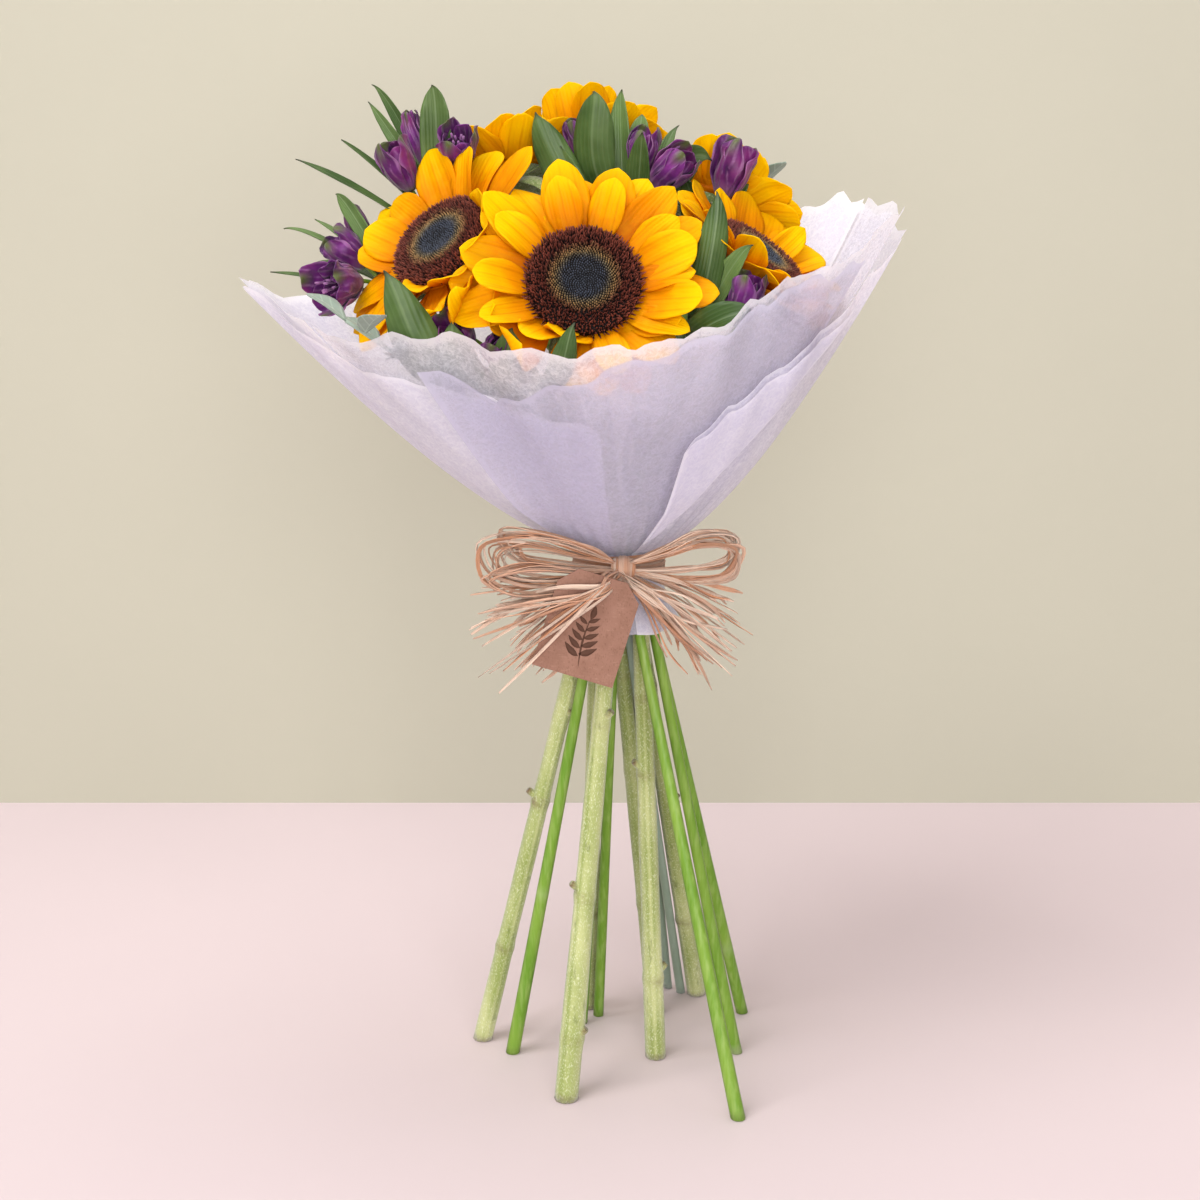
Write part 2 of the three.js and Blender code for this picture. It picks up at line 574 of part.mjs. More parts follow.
// The stem with its swollen joints and cut side shoots, and the cup behind the head.
function sunflowerStem(flower) {
  const { lower, upper } = sunflowerRoute(flower);
  const radiusAt = (z) => flower.footRadius + (STEM.tieRadius - flower.footRadius) * (z / MEET_Z);
  const stations = [{ curve: lower, at: 0, radius: flower.footRadius }];
  for (const z of flower.joints) {
    stations.push({ curve: lower, at: z / MEET_Z, radius: radiusAt(z) * STEM.swelling });
  }
  stations.push({ curve: lower, at: 1, radius: STEM.tieRadius });
  for (const at of [0, 0.3, 0.55, 0.8, 1]) {
    const radius = THREE.MathUtils.lerp(STEM.tieRadius, STEM.neckRadius, at);
    stations.push({ curve: upper, at, radius });
  }
  const parts = [tube(stations, STEM.sides, true)];
  for (const [z, angle] of flower.stubs) {
    const root = lower.getPoint(z / MEET_Z);
    const away = new THREE.Vector3(Math.cos(degrees(angle)), Math.sin(degrees(angle)), STEM.stubRise);
    const end = root.clone().addScaledVector(away.normalize(), radiusAt(z) + STEM.stubReach);
    const curve = new THREE.LineCurve3(root, end);
    const ends = [{ curve, at: 0.2, radius: STEM.stubRoot }, { curve, at: 1, radius: STEM.stubEnd }];
    parts.push(tube(ends, 5));
  }
  const r = flower.disc;
  const cupBase = HEAD.calyxTop - HEAD.calyxDepth;
  parts.push(lathe([
    [0, cupBase], [HEAD.neckRadius + 0.6, cupBase], [0.42 * r, cupBase + 0.3 * HEAD.calyxDepth],
    [0.88 * r, HEAD.calyxTop], [0, HEAD.calyxTop],
  ], 10, headMatrix(flower)));
  return fuse(parts);
}

function rayPlate(flower) {
  const r = flower.disc * HEAD.plateRadius;
  return lathe([[0, HEAD.plateBottom], [r, HEAD.plateBottom], [r, HEAD.plateTop],
    [0, HEAD.plateTop]], 14, headMatrix(flower));
}

const DISC_SIDES = 20;
// The disc's profile: radius as a share of the disc's, height, and how high its florets stand.
const DISC_TOP = 6.2;
const DISC_PROFILE = [
  [0.93, 0, 0], [1.0, 3.6, 0.9], [0.87, 7.4, 1.1], [0.7, 6.2, 0.7], [0.46, 7.5, 0.5],
  [0.22, 7.0, 0.4],
];

// A domed disc whose florets are raised in rows that spiral from ring to ring.
function disc(flower) {
  const rings = DISC_PROFILE.map(([share, height, relief], ring) =>
    Array.from({ length: DISC_SIDES }, (_, j) => {
      const angle = (2 * Math.PI * (j + 0.5 * ring)) / DISC_SIDES;
      const raised = (j % 2 === 0 ? relief : -relief);
      const radius = flower.disc * share + (ring < 3 ? raised * 0.8 : 0);
      return new THREE.Vector3(radius * Math.cos(angle), radius * Math.sin(angle), height + raised);
    }));
  const solid = loft(rings, new THREE.Vector3(), new THREE.Vector3(0, 0, DISC_TOP));
  return solid.transform(headMatrix(flower).elements);
}

const RAY_PROFILE = [[0, 0.4], [0.38, 0.95], [0.74, 0.86]];
// A ray that would cross another piece is lifted or lowered, then shortened.
const RAY_TRIES = [0, 0.22, -0.2, 0.45, -0.4, 0.7, 0.95, 1.2];
const RAY_SHARES = [1, 0.82, 0.62];

// One ray of a head: azimuth round the disc, lift over its plane, layer 0 behind or 1 in front.
function rayShape(flower, ray, lift, length) {
  const radial = new THREE.Vector3(Math.cos(ray.angle), Math.sin(ray.angle), 0);
  const around = new THREE.Vector3(-radial.y, radial.x, 0);
  const level = HEAD.plateBottom + HEAD.rayLevels[ray.layer];
  const root = flower.disc * HEAD.rayRoot;
  const place = (out, high, sway) => radial.clone().multiplyScalar(out)
    .addScaledVector(UP, high).addScaledVector(around, sway)
    .applyMatrix4(headMatrix(flower));
  const turn = new THREE.Matrix4().extractRotation(headMatrix(flower));
  return {
    base: place(root, level, 0),
    bend: place(root + 0.42 * length, level + ray.arch, ray.sway * 0.4),
    tip: place(root + length * Math.cos(lift), level + length * Math.sin(lift), ray.sway),
    face: UP.clone().applyMatrix4(turn),
    width: ray.width, thickness: HEAD.rayThickness, trough: HEAD.rayTrough,
    twist: ray.twist, profile: RAY_PROFILE,
  };
}

function rayList(flower) {
  const draw = makeRandom(flower.seed);
  const rays = [];
  flower.rays.forEach((count, layer) => {
    for (let i = 0; i < count; i += 1) {
      rays.push({
        layer,
        angle: (2 * Math.PI * (i + 0.5 * layer)) / count + draw(-0.09, 0.09) + flower.seed,
        length: (flower.reach - flower.disc * HEAD.rayRoot) * draw(0.86, 1.04),
        lift: flower.lift + (layer === 0 ? -0.12 : 0.2) + draw(-0.12, 0.16),
        arch: draw(-0.5, 2), sway: draw(-5, 5), twist: draw(-0.5, 0.5),
        width: HEAD.rayWidth * draw(0.86, 1.1),
      });
    }
  });
  return rays;
}

function rays(flower, node) {
  const parts = [rayPlate(flower)];
  for (const ray of rayList(flower)) {
    const shapes = RAY_SHARES.flatMap((share) => RAY_TRIES.map(
      (more) => rayShape(flower, ray, ray.lift + more, ray.length * share)));
    const solid = firstClear(node, shapes);
    if (solid) {
      parts.push(solid);
    }
  }
  return fuse(parts);
}

const BRACT_PROFILE = [[0, 0.8], [0.45, 1]];
const BRACT_LIFTS = [-0.05, -0.35, -0.65, -0.95];

function bracts(flower, node) {
  const draw = makeRandom(flower.seed + 5);
  const matrix = headMatrix(flower);
  const turn = new THREE.Matrix4().extractRotation(matrix);
  const found = [];
  for (let i = 0; i < HEAD.bractCount; i += 1) {
    const angle = (2 * Math.PI * (i + draw(-0.2, 0.2))) / HEAD.bractCount;
    const length = HEAD.bractLength * draw(0.85, 1.15);
    const shapes = BRACT_LIFTS.map((lift) => {
      const place = (out, high) => new THREE.Vector3(out * Math.cos(angle), out * Math.sin(angle), high)
        .applyMatrix4(matrix);
      const root = HEAD.bractRoot * flower.disc;
      const level = HEAD.calyxTop - HEAD.bractDrop * HEAD.calyxDepth;
      return {
        base: place(root - 3, level + 0.6), bend: place(root + 0.4 * length, level - 0.8),
        tip: place(root + length * Math.cos(lift), level + length * Math.sin(lift)),
        face: UP.clone().applyMatrix4(turn), width: HEAD.bractWidth,
        thickness: HEAD.bractThickness, trough: HEAD.bractTrough, profile: BRACT_PROFILE,
      };
    });
    found.push(firstClear(node, shapes));
  }
  return found.filter((solid) => solid);
}

// ---------------------------------------------------------------- alstroemeria

// Straight from the cut to the tie, up through it, then along the given places.
function thinRoute(plant, places) {
  const waist = onRing(plant.ring, plant.slot, MEET_Z);
  const spread = SPREAD_Z - MEET_Z;
  const rise = [0, spread, spread + THIN_STEM.riseFromTie].map(
    (z) => waist.clone().addScaledVector(UP, z));
  return {
    lower: new THREE.LineCurve3(new THREE.Vector3(...plant.foot, 0), waist),
    upper: new THREE.CatmullRomCurve3([...rise, ...places.map(vec)]),
  };
}

function thinStem({ lower, upper }, radii, steps) {
  const [footRadius, waistRadius, topRadius] = radii;
  const stations = [0, 0.35, 0.7].map(
    (at) => ({ curve: lower, at, radius: footRadius + (waistRadius - footRadius) * at }));
  for (let i = 0; i <= steps; i += 1) {
    const at = i / steps;
    stations.push({ curve: upper, at, radius: waistRadius + (topRadius - waistRadius) * at });
  }
  return tube(stations, THIN_STEM.sides, true);
}

const ALSTROEMERIA = { waistRadius: 2.6, topRadius: 1.9, pedicelRadius: 1.1, leafThickness: 1.1 };

// The green stem of one plant, with the thin stalk of each bloom.
function alstroemeriaStem(plant) {
  const crown = vec(plant.crown);
  const route = thinRoute(plant, [...plant.route, plant.crown]);
  const { waistRadius, topRadius, pedicelRadius } = ALSTROEMERIA;
  const parts = [thinStem(route, [plant.footRadius, waistRadius, topRadius], 5)];
  for (const bloom of plant.blooms) {
    const base = vec(bloom.base);
    const along = vec(bloom.tip).sub(base).normalize();
    const end = base.clone().addScaledVector(along, -GAP);
    const curve = new THREE.QuadraticBezierCurve3(crown.clone().addScaledVector(UP, -2),
      end.clone().addScaledVector(along, -0.4 * crown.distanceTo(base)), end);
    parts.push(tube([0, 0.5, 1].map((at) => ({ curve, at, radius: pedicelRadius })), 4));
  }
  return fuse(parts);
}

// Leaves leave the stem one under another, from just below its top.
const LEAF_ROOTS = { first: 0.99, step: 0.014 };
const LEAF_PROFILE = [[0, 0.16], [0.36, 0.96], [0.7, 0.8]];
const LEAF_TRIES = [
  [0, 0, 0], [6, 0, 0], [-6, 0, 0], [0, 6, 0], [0, -6, 0], [0, 0, 6], [8, 8, 4], [-8, 8, 4],
  [8, -8, 4], [-8, -8, 4], [14, 0, 6], [-14, 0, 6], [0, 14, 6], [0, -14, 6], [0, 0, 16], [0, 0, -10],
];

function leafShape(plant, [tip, width, bow], index, offset) {
  const { upper } = thinRoute(plant, [...plant.route, plant.crown]);
  const crown = upper.getPoint(LEAF_ROOTS.first - LEAF_ROOTS.step * index);
  const end = vec(tip).add(vec(offset));
  const outward = new THREE.Vector3(end.x - AXIS_X, end.y, 0).normalize();
  const face = outward.multiplyScalar(-0.4).addScaledVector(UP, 0.9);
  if (end.z - crown.z > 1.2 * Math.hypot(end.x - crown.x, end.y - crown.y)) {
    face.set(0, -1, 0.25);
  }
  const middle = crown.clone().lerp(end, 0.5).addScaledVector(UP, bow);
  return {
    base: crown, bend: middle, tip: end, face, width,
    thickness: ALSTROEMERIA.leafThickness, trough: 0.06 * width, twist: 0.4, profile: LEAF_PROFILE,
  };
}

function alstroemeriaLeaves(plant, node) {
  return plant.leaves.map((leaf, index) => firstClear(node,
    LEAF_TRIES.map((offset) => leafShape(plant, leaf, index, offset)))).filter((solid) => solid);
}

const TEPALS = 6;
// Up the outside of a bloom to the rim and back down inside: height and radius as shares of
// its length and girth, first on a tepal's middle, then in the notch between two.
const BLOOM_PROFILE = [
  { high: [0, 0], wide: [0.28, 0.28] },
  { high: [0.3, 0.3], wide: [0.82, 0.7] },
  { high: [0.62, 0.5], wide: [1.05, 0.86] },
  { high: [1, 0.66], wide: [0.4, 0.72], rim: true },
  { high: [0.64, 0.48], wide: [0.82, 0.6] },
  { high: [0.36, 0.36], wide: [0.5, 0.42] },
];

// A bloom of six pointed tepals on a common throat, the odd ones inside the even ones.
function bloomSolid(bloom, open, size, grow = 0) {
  const base = vec(bloom.base);
  const axis = vec(bloom.tip).sub(base);
  const length = axis.length() * size + grow;
  const girth = bloom.girth * size + grow;
  const turn = new THREE.Quaternion().setFromUnitVectors(UP, axis.normalize());
  const matrix = new THREE.Matrix4().compose(base, turn, new THREE.Vector3(1, 1, 1));
  const rings = BLOOM_PROFILE.map(({ high, wide, rim }) =>
    Array.from({ length: 2 * TEPALS }, (_, j) => {
      const notch = j % 2;
      const inner = j % 4 === 2;
      const flare = rim ? open * (notch ? 0.5 : 1) : 0.25 * open * high[0];
      const radius = girth * (wide[notch] + flare) * (inner && rim ? 0.8 : 1);
      const angle = (Math.PI * j) / TEPALS;
      const height = length * high[notch] * (inner || notch ? 1 : 0.93);
      return new THREE.Vector3(radius * Math.cos(angle), radius * Math.sin(angle), height)
        .applyMatrix4(matrix);
    }));
  const throat = new THREE.Vector3(0, 0, 0.3 * length).applyMatrix4(matrix);
  // Both sides of a tepal are split alike, outside up to the rim and inside below it.
  const rimRow = BLOOM_PROFILE.findIndex(({ rim }) => rim);
  return loft(rings, base, throat, (row, side) => (side % 2 === 1) !== (row >= rimRow));
}

// The bloom opened as far and as large as its neighbours leave room for.
function clearBloom(bloom) {
  const tries = [[0, 1], [-0.2, 1], [-0.2, 0.9], [-0.4, 0.85], [-0.6, 0.75], [-0.6, 0.6]];
  const [open, size] = tries.map(([less, share]) => [Math.max(0, bloom.open + less), share])
    .find(([spread, share]) => isClear(bloom.name, bloomSolid(bloom, spread, share, 2 * GAP)))
    ?? [0, 0.5];
  return bloomSolid(bloom, open, size);
}

// ---------------------------------------------------------------- eucalyptus

const EUCALYPTUS_SIZE = { footRadius: 2.9, waistRadius: 2.1, topRadius: 0.9, leafLength: 23,
  leafWidth: 14, leafThickness: 1.1 };

function eucalyptusRoute(sprig) {
  return thinRoute(sprig, [...sprig.route, sprig.tip]);
}

function eucalyptusStem(sprig) {
  const { footRadius, waistRadius, topRadius } = EUCALYPTUS_SIZE;
  return thinStem(eucalyptusRoute(sprig), [footRadius, waistRadius, topRadius], 6);
}

function eucalyptusLeaves(sprig, node) {
  const draw = makeRandom(sprig.seed);
  const curve = eucalyptusRoute(sprig).upper;
  const found = [];
  for (let i = 0; i < sprig.leaves; i += 1) {
    const at = 0.66 + (0.34 * i) / (sprig.leaves - 1);
    const root = curve.getPoint(at);
    const along = curve.getTangent(at).normalize();
    const across = along.clone().cross(UP).normalize();
    const shapes = Array.from({ length: 8 }, (_, k) => {
      const angle = Math.PI * i + 0.7 * k + draw(-0.3, 0.3);
      const away = across.clone().multiplyScalar(Math.cos(angle))
        .addScaledVector(UP, Math.abs(Math.sin(angle)) + 0.15);
      const tip = root.clone().addScaledVector(away, EUCALYPTUS_SIZE.leafLength * (1 - 0.04 * k))
        .addScaledVector(along, 8);
      const bend = root.clone().lerp(tip, 0.5).addScaledVector(UP, 3);
      return { base: root, bend, tip, face: UP.clone(), width: EUCALYPTUS_SIZE.leafWidth,
        thickness: EUCALYPTUS_SIZE.leafThickness, profile: [[0, 0.12], [0.5, 1]] };
    });
    found.push(firstClear(node, shapes));
  }
  return found.filter((solid) => solid);
}

// ---------------------------------------------------------------- the bunch

const solids = new Map();

function keep(node, solid) {
  solids.set(node, solid);
  reserve(node, solid);
}

function extend(node, parts) {
  if (parts.length > 0) {
    const added = fuse(parts);
    solids.set(node, solids.get(node).add(added));
    reserve(node, added);
  }
}

function addLeaves(plant) {
  const node = `${plant.name}_stem`;
  extend(node, alstroemeriaLeaves(plant, node));
}

// What has a fixed place comes first, then the leaves that stand in front of the heads, then
// the rays, bracts and other leaves, which keep clear of all that.
SHEETS.forEach((sheet) => keep(sheet.name, wrapSheet(sheet)));
keep('raffia_band', tieBand());
keep('raffia_bow', bow());
keep('tag', tag());
for (const flower of SUNFLOWERS) {
  keep(`${flower.name}_stem`, sunflowerStem(flower));
  keep(`${flower.name}_disc`, disc(flower));
  reserve(`${flower.name}_rays`, rayPlate(flower));
}
for (const plant of ALSTROEMERIAS) {
  keep(`${plant.name}_stem`, alstroemeriaStem(plant));
}
EUCALYPTUS.forEach((sprig) => keep(sprig.name, eucalyptusStem(sprig)));
for (const plant of ALSTROEMERIAS) {
  plant.blooms.forEach((bloom) => keep(bloom.name, clearBloom(bloom)));
}
ALSTROEMERIAS.filter((plant) => plant.leavesFirst).forEach(addLeaves);
SUNFLOWERS.forEach((flower) => keep(`${flower.name}_rays`, rays(flower, `${flower.name}_rays`)));
ALSTROEMERIAS.filter((plant) => !plant.leavesFirst).forEach(addLeaves);
SUNFLOWERS.forEach((flower) => extend(`${flower.name}_stem`, bracts(flower, `${flower.name}_stem`)));
EUCALYPTUS.forEach((sprig) => extend(sprig.name, eucalyptusLeaves(sprig, sprig.name)));

const FINISH = [
  [/^wrap/, COLOUR.wrap, 0.85], [/^raffia/, COLOUR.raffia, 0.7], [/^tag/, COLOUR.card, 0.9],
  [/rays$/, COLOUR.ray, 0.6], [/disc$/, COLOUR.disc, 0.9], [/^bloom/, COLOUR.bloom, 0.55],
  [/^sunflower.*stem$/, COLOUR.sunflowerStem, 0.8], [/^alstroemeria/, COLOUR.alstroemeriaStem, 0.5],
  [/^eucalyptus/, COLOUR.eucalyptus, 0.7],
];

const bunch = new THREE.Group();
for (const [name, solid] of solids) {
  const [, colour, roughness] = FINISH.find(([pattern]) => pattern.test(name));
  bunch.add(meshOf(name, solid, colour, roughness));
}

// The origin goes to the middle of the whole bunch, on the surface.
const middle = new THREE.Box3().setFromObject(bunch).getCenter(new THREE.Vector3());
bunch.position.set(-middle.x, -middle.y, 0);

export default bunch;
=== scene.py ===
"""Looks of a hand-tied bunch of sunflowers and alstroemeria in a white non-woven wrap.

The bunch stands on its cut stems. Places are written in millimetres in the bunch's own frame,
with +Z up and the front facing -Y. SHIFT and MM bring them into the scene.
"""

import logging
import math
from dataclasses import dataclass, field
from enum import Enum
from typing import Callable, Sequence

import bpy
import numpy as np
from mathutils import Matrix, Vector
from mathutils.bvhtree import BVHTree


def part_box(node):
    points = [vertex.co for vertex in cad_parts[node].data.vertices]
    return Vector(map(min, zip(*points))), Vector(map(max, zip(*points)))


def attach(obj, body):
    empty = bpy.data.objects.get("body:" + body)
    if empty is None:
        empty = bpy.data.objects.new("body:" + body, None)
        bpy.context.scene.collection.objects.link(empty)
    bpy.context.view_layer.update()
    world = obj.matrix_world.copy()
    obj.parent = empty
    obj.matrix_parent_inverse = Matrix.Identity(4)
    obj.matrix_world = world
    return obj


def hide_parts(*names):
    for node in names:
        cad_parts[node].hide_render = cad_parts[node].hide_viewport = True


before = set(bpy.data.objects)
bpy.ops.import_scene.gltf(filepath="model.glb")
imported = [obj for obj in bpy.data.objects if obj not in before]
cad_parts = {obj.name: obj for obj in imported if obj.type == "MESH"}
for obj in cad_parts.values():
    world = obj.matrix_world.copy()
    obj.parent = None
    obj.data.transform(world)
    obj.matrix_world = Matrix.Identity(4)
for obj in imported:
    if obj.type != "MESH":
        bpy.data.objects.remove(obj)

LOG = logging.getLogger("bunch")
Array = np.ndarray
Pair = tuple[float, float]
Triple = tuple[float, float, float]
Colour = Triple
Socket, Material = bpy.types.NodeSocket, bpy.types.Material
Thing, Mesh = bpy.types.Object, bpy.types.Mesh

MM = 0.001
SHIFT = np.array([12.2806, 8.6482, 0.0])
AXIS_X = 10.4                    # the tie stands over this x, at y 0
UP = np.array([0.0, 0.0, 1.0])
GAP = 0.3                        # between two pieces that touch
FAR = 1e3                        # further than any place of the bunch
MEET_Z, SPREAD_Z, OUTER_RING = 292.0, 311.0, 13.25
GOLDEN_ANGLE = math.pi * (3 - math.sqrt(5))
DRAW_FACTOR, DRAW_LIMIT = 16807, 2147483647


# ---- numbers and curves

def vec(*place: float) -> Array:
    """A place or direction as an array."""
    return np.array(place, float)


def unit(v: Array) -> Array:
    """The same directions at length 1."""
    return v / np.maximum(np.linalg.norm(v, axis=-1, keepdims=True), 1e-9)


def on_ring(radius: float, angle: float, z: float) -> Array:
    """A place on a circle round the tie's axis, with the angle in degrees."""
    a = math.radians(angle)
    return vec(AXIS_X + radius * math.cos(a), radius * math.sin(a), z)


def spokes(angle: float) -> tuple[Array, Array]:
    """The way out from a middle, and the way round it, at an angle in radians."""
    out = vec(math.cos(angle), math.sin(angle), 0)
    return out, vec(-out[1], out[0], 0)


def turn_from_up(way: Array | Vector) -> Array:
    """The turn that brings +Z to a direction, as a matrix."""
    return np.array(Vector((0, 0, 1)).rotation_difference(Vector(way)).to_matrix())


class Draw:
    """A seeded draw between two numbers, the same on every run."""

    def __init__(self, seed: int) -> None:
        """Starts the row of numbers that belongs to a seed."""
        self.state = seed

    def __call__(self, low: float, high: float) -> float:
        """The next number between low and high."""
        self.state = self.state * DRAW_FACTOR % DRAW_LIMIT
        return low + (high - low) * self.state / DRAW_LIMIT


@dataclass
class Bezier:
    """A Bezier curve through its first and last point."""

    points: Sequence[Array]

    def at(self, t: Array) -> Array:
        """Places on the curve at shares from 0 to 1.

        Args:
            t: the shares.

        Returns:
            One place in each row.
        """
        t = np.atleast_1d(np.asarray(t, float))[:, None]
        rest = [np.broadcast_to(p, (len(t), 3)) for p in self.points]
        while len(rest) > 1:
            rest = [a + (b - a) * t for a, b in zip(rest, rest[1:])]
        return rest[0]


@dataclass
class Spline:
    """A smooth curve through all its points, open or closed."""

    points: Array
    closed: bool = False

    def at(self, t: Array) -> Array:
        """Places on the curve at shares from 0 to 1, with the same share for each span.

        Args:
            t: the shares.

        Returns:
            One place in each row.
        """
        t = np.atleast_1d(np.asarray(t, float))
        count = len(self.points)
        if self.closed:
            place = (t % 1.0) * count
            step = np.floor(place).astype(int)
            p = self.points[(step[:, None] + np.arange(-1, 3)) % count]
        else:
            place = np.clip(t, 0, 1) * (count - 1)
            step = np.minimum(np.floor(place).astype(int), count - 2)
            ends = (2 * self.points[0] - self.points[1], 2 * self.points[-1] - self.points[-2])
            padded = np.vstack([ends[0], self.points, ends[1]])
            p = padded[step[:, None] + np.arange(4)]
        w = (place - step)[:, None]
        d = [np.sum((p[:, i + 1] - p[:, i]) ** 2, axis=1, keepdims=True) ** 0.25 for i in range(3)]
        a = ((p[:, 1] - p[:, 0]) / d[0] - (p[:, 2] - p[:, 0]) / (d[0] + d[1])
             + (p[:, 2] - p[:, 1]) / d[1]) * d[1]
        b = ((p[:, 2] - p[:, 1]) / d[1] - (p[:, 3] - p[:, 1]) / (d[1] + d[2])
             + (p[:, 3] - p[:, 2]) / d[2]) * d[1]
        rise = p[:, 2] - p[:, 1]
        return p[:, 1] + w * (a + w * ((3 * rise - 2 * a - b) + w * (a + b - 2 * rise)))


@dataclass
class Route:
    """A line through closely set points, measured by its length."""

    points: Array

    def at(self, t: Array) -> Array:
        """Places at shares of the whole length.

        Args:
            t: the shares.

        Returns:
            One place in each row.
        """
        run = np.concatenate([[0], np.cumsum(np.linalg.norm(np.diff(self.points, axis=0), axis=1))])
        t = np.atleast_1d(np.asarray(t, float)) * run[-1]
        return np.stack([np.interp(t, run, self.points[:, k]) for k in range(3)], axis=1)


Curve = Bezier | Spline | Route


def direction(curve: Curve, t: Array, step: float = 1e-3) -> Array:
    """The way that a curve runs at shares from 0 to 1."""
    return unit(curve.at(np.minimum(t + step, 1)) - curve.at(np.maximum(t - step, 0)))


def lay(flat: Array, spine: Curve, across: Array, twist: float = 0.0) -> Array:
    """Lays a flat blade along a spine.

    Args:
        flat: for each point its share of the length, and its way across and above, in mm.
        spine: its middle line.
        across: roughly the way that the blade is wide.
        twist: how far it turns about its spine up to the tip, in radians.

    Returns:
        The points in their place.
    """
    along = direction(spine, flat[:, 0])
    side = unit(across - along * (along @ across)[:, None])
    normal = np.cross(along, side)
    turn = (twist * flat[:, 0])[:, None]
    cos, sin = np.cos(turn), np.sin(turn)
    side, normal = side * cos - normal * sin, normal * cos + side * sin
    return spine.at(flat[:, 0]) + side * flat[:, 1:2] + normal * flat[:, 2:3]


# ---- shapes modelled once

def points_of(mesh: Mesh) -> Array:
    """The places of a mesh's vertices, one in each row.

    Args:
        mesh: it is only read.

    Returns:
        The places, in the mesh's own units.
    """
    flat = np.empty(len(mesh.vertices) * 3)
    mesh.vertices.foreach_get("co", flat)
    return flat.reshape(-1, 3)


def node_points(name: str) -> Array:
    """The points of a CAD node, in the bunch's frame."""
    return points_of(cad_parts[name].data) / MM - SHIFT


def store(mesh: Mesh, name: str, values: Array) -> None:
    """Keeps a value for each vertex, which a finish reads by its name."""
    mesh.attributes.new(name, "FLOAT", "POINT").data.foreach_set(
        "value", np.asarray(values, np.float32))


@dataclass
class Shape:
    """A small closed shape that is modelled once and copied many times."""

    points: Array
    corners: Array
    sizes: Array

    @staticmethod
    def taken_from(thing: Thing) -> "Shape":
        """Reads the shape of an object and removes the object.

        Args:
            thing: an object in edit or object mode.

        Returns:
            Its shape.
        """
        bpy.ops.object.mode_set(mode="OBJECT")
        mesh = thing.data
        points = points_of(mesh)
        corners = np.empty(len(mesh.loops), np.int32)
        sizes = np.empty(len(mesh.polygons), np.int32)
        mesh.loops.foreach_get("vertex_index", corners)
        mesh.polygons.foreach_get("loop_total", sizes)
        bpy.data.objects.remove(thing)
        return Shape(points, corners, sizes)

    def faces(self) -> list[list[int]]:
        """The corners of each face."""
        return [part.tolist() for part in np.split(self.corners, np.cumsum(self.sizes)[:-1])]


def lay_tube(tube: Shape, route: Route, radius: Array, step: float) -> Array:
    """Lays an upright tube along a route, cut level where it stands on the surface.

    Args:
        tube: radius 1, with z from 0 to 1 along the route.
        route: where it goes.
        radius: at each point of the tube.
        step: how far apart, as a share, the route's way is measured.

    Returns:
        The tube's points.
    """
    x, y, share = tube.points.T
    centre, along = route.at(share), direction(route, share, step)
    side = unit(vec(1, 0, 0) - along * along[:, :1])
    across = np.cross(along, side)
    points = centre + (side * x[:, None] + across * y[:, None]) * radius[:, None]
    cut = (share < 1e-6) & (centre[:, 2] < 1)
    points[cut] -= along[cut] * (points[cut, 2] / along[cut, 2])[:, None]
    return points


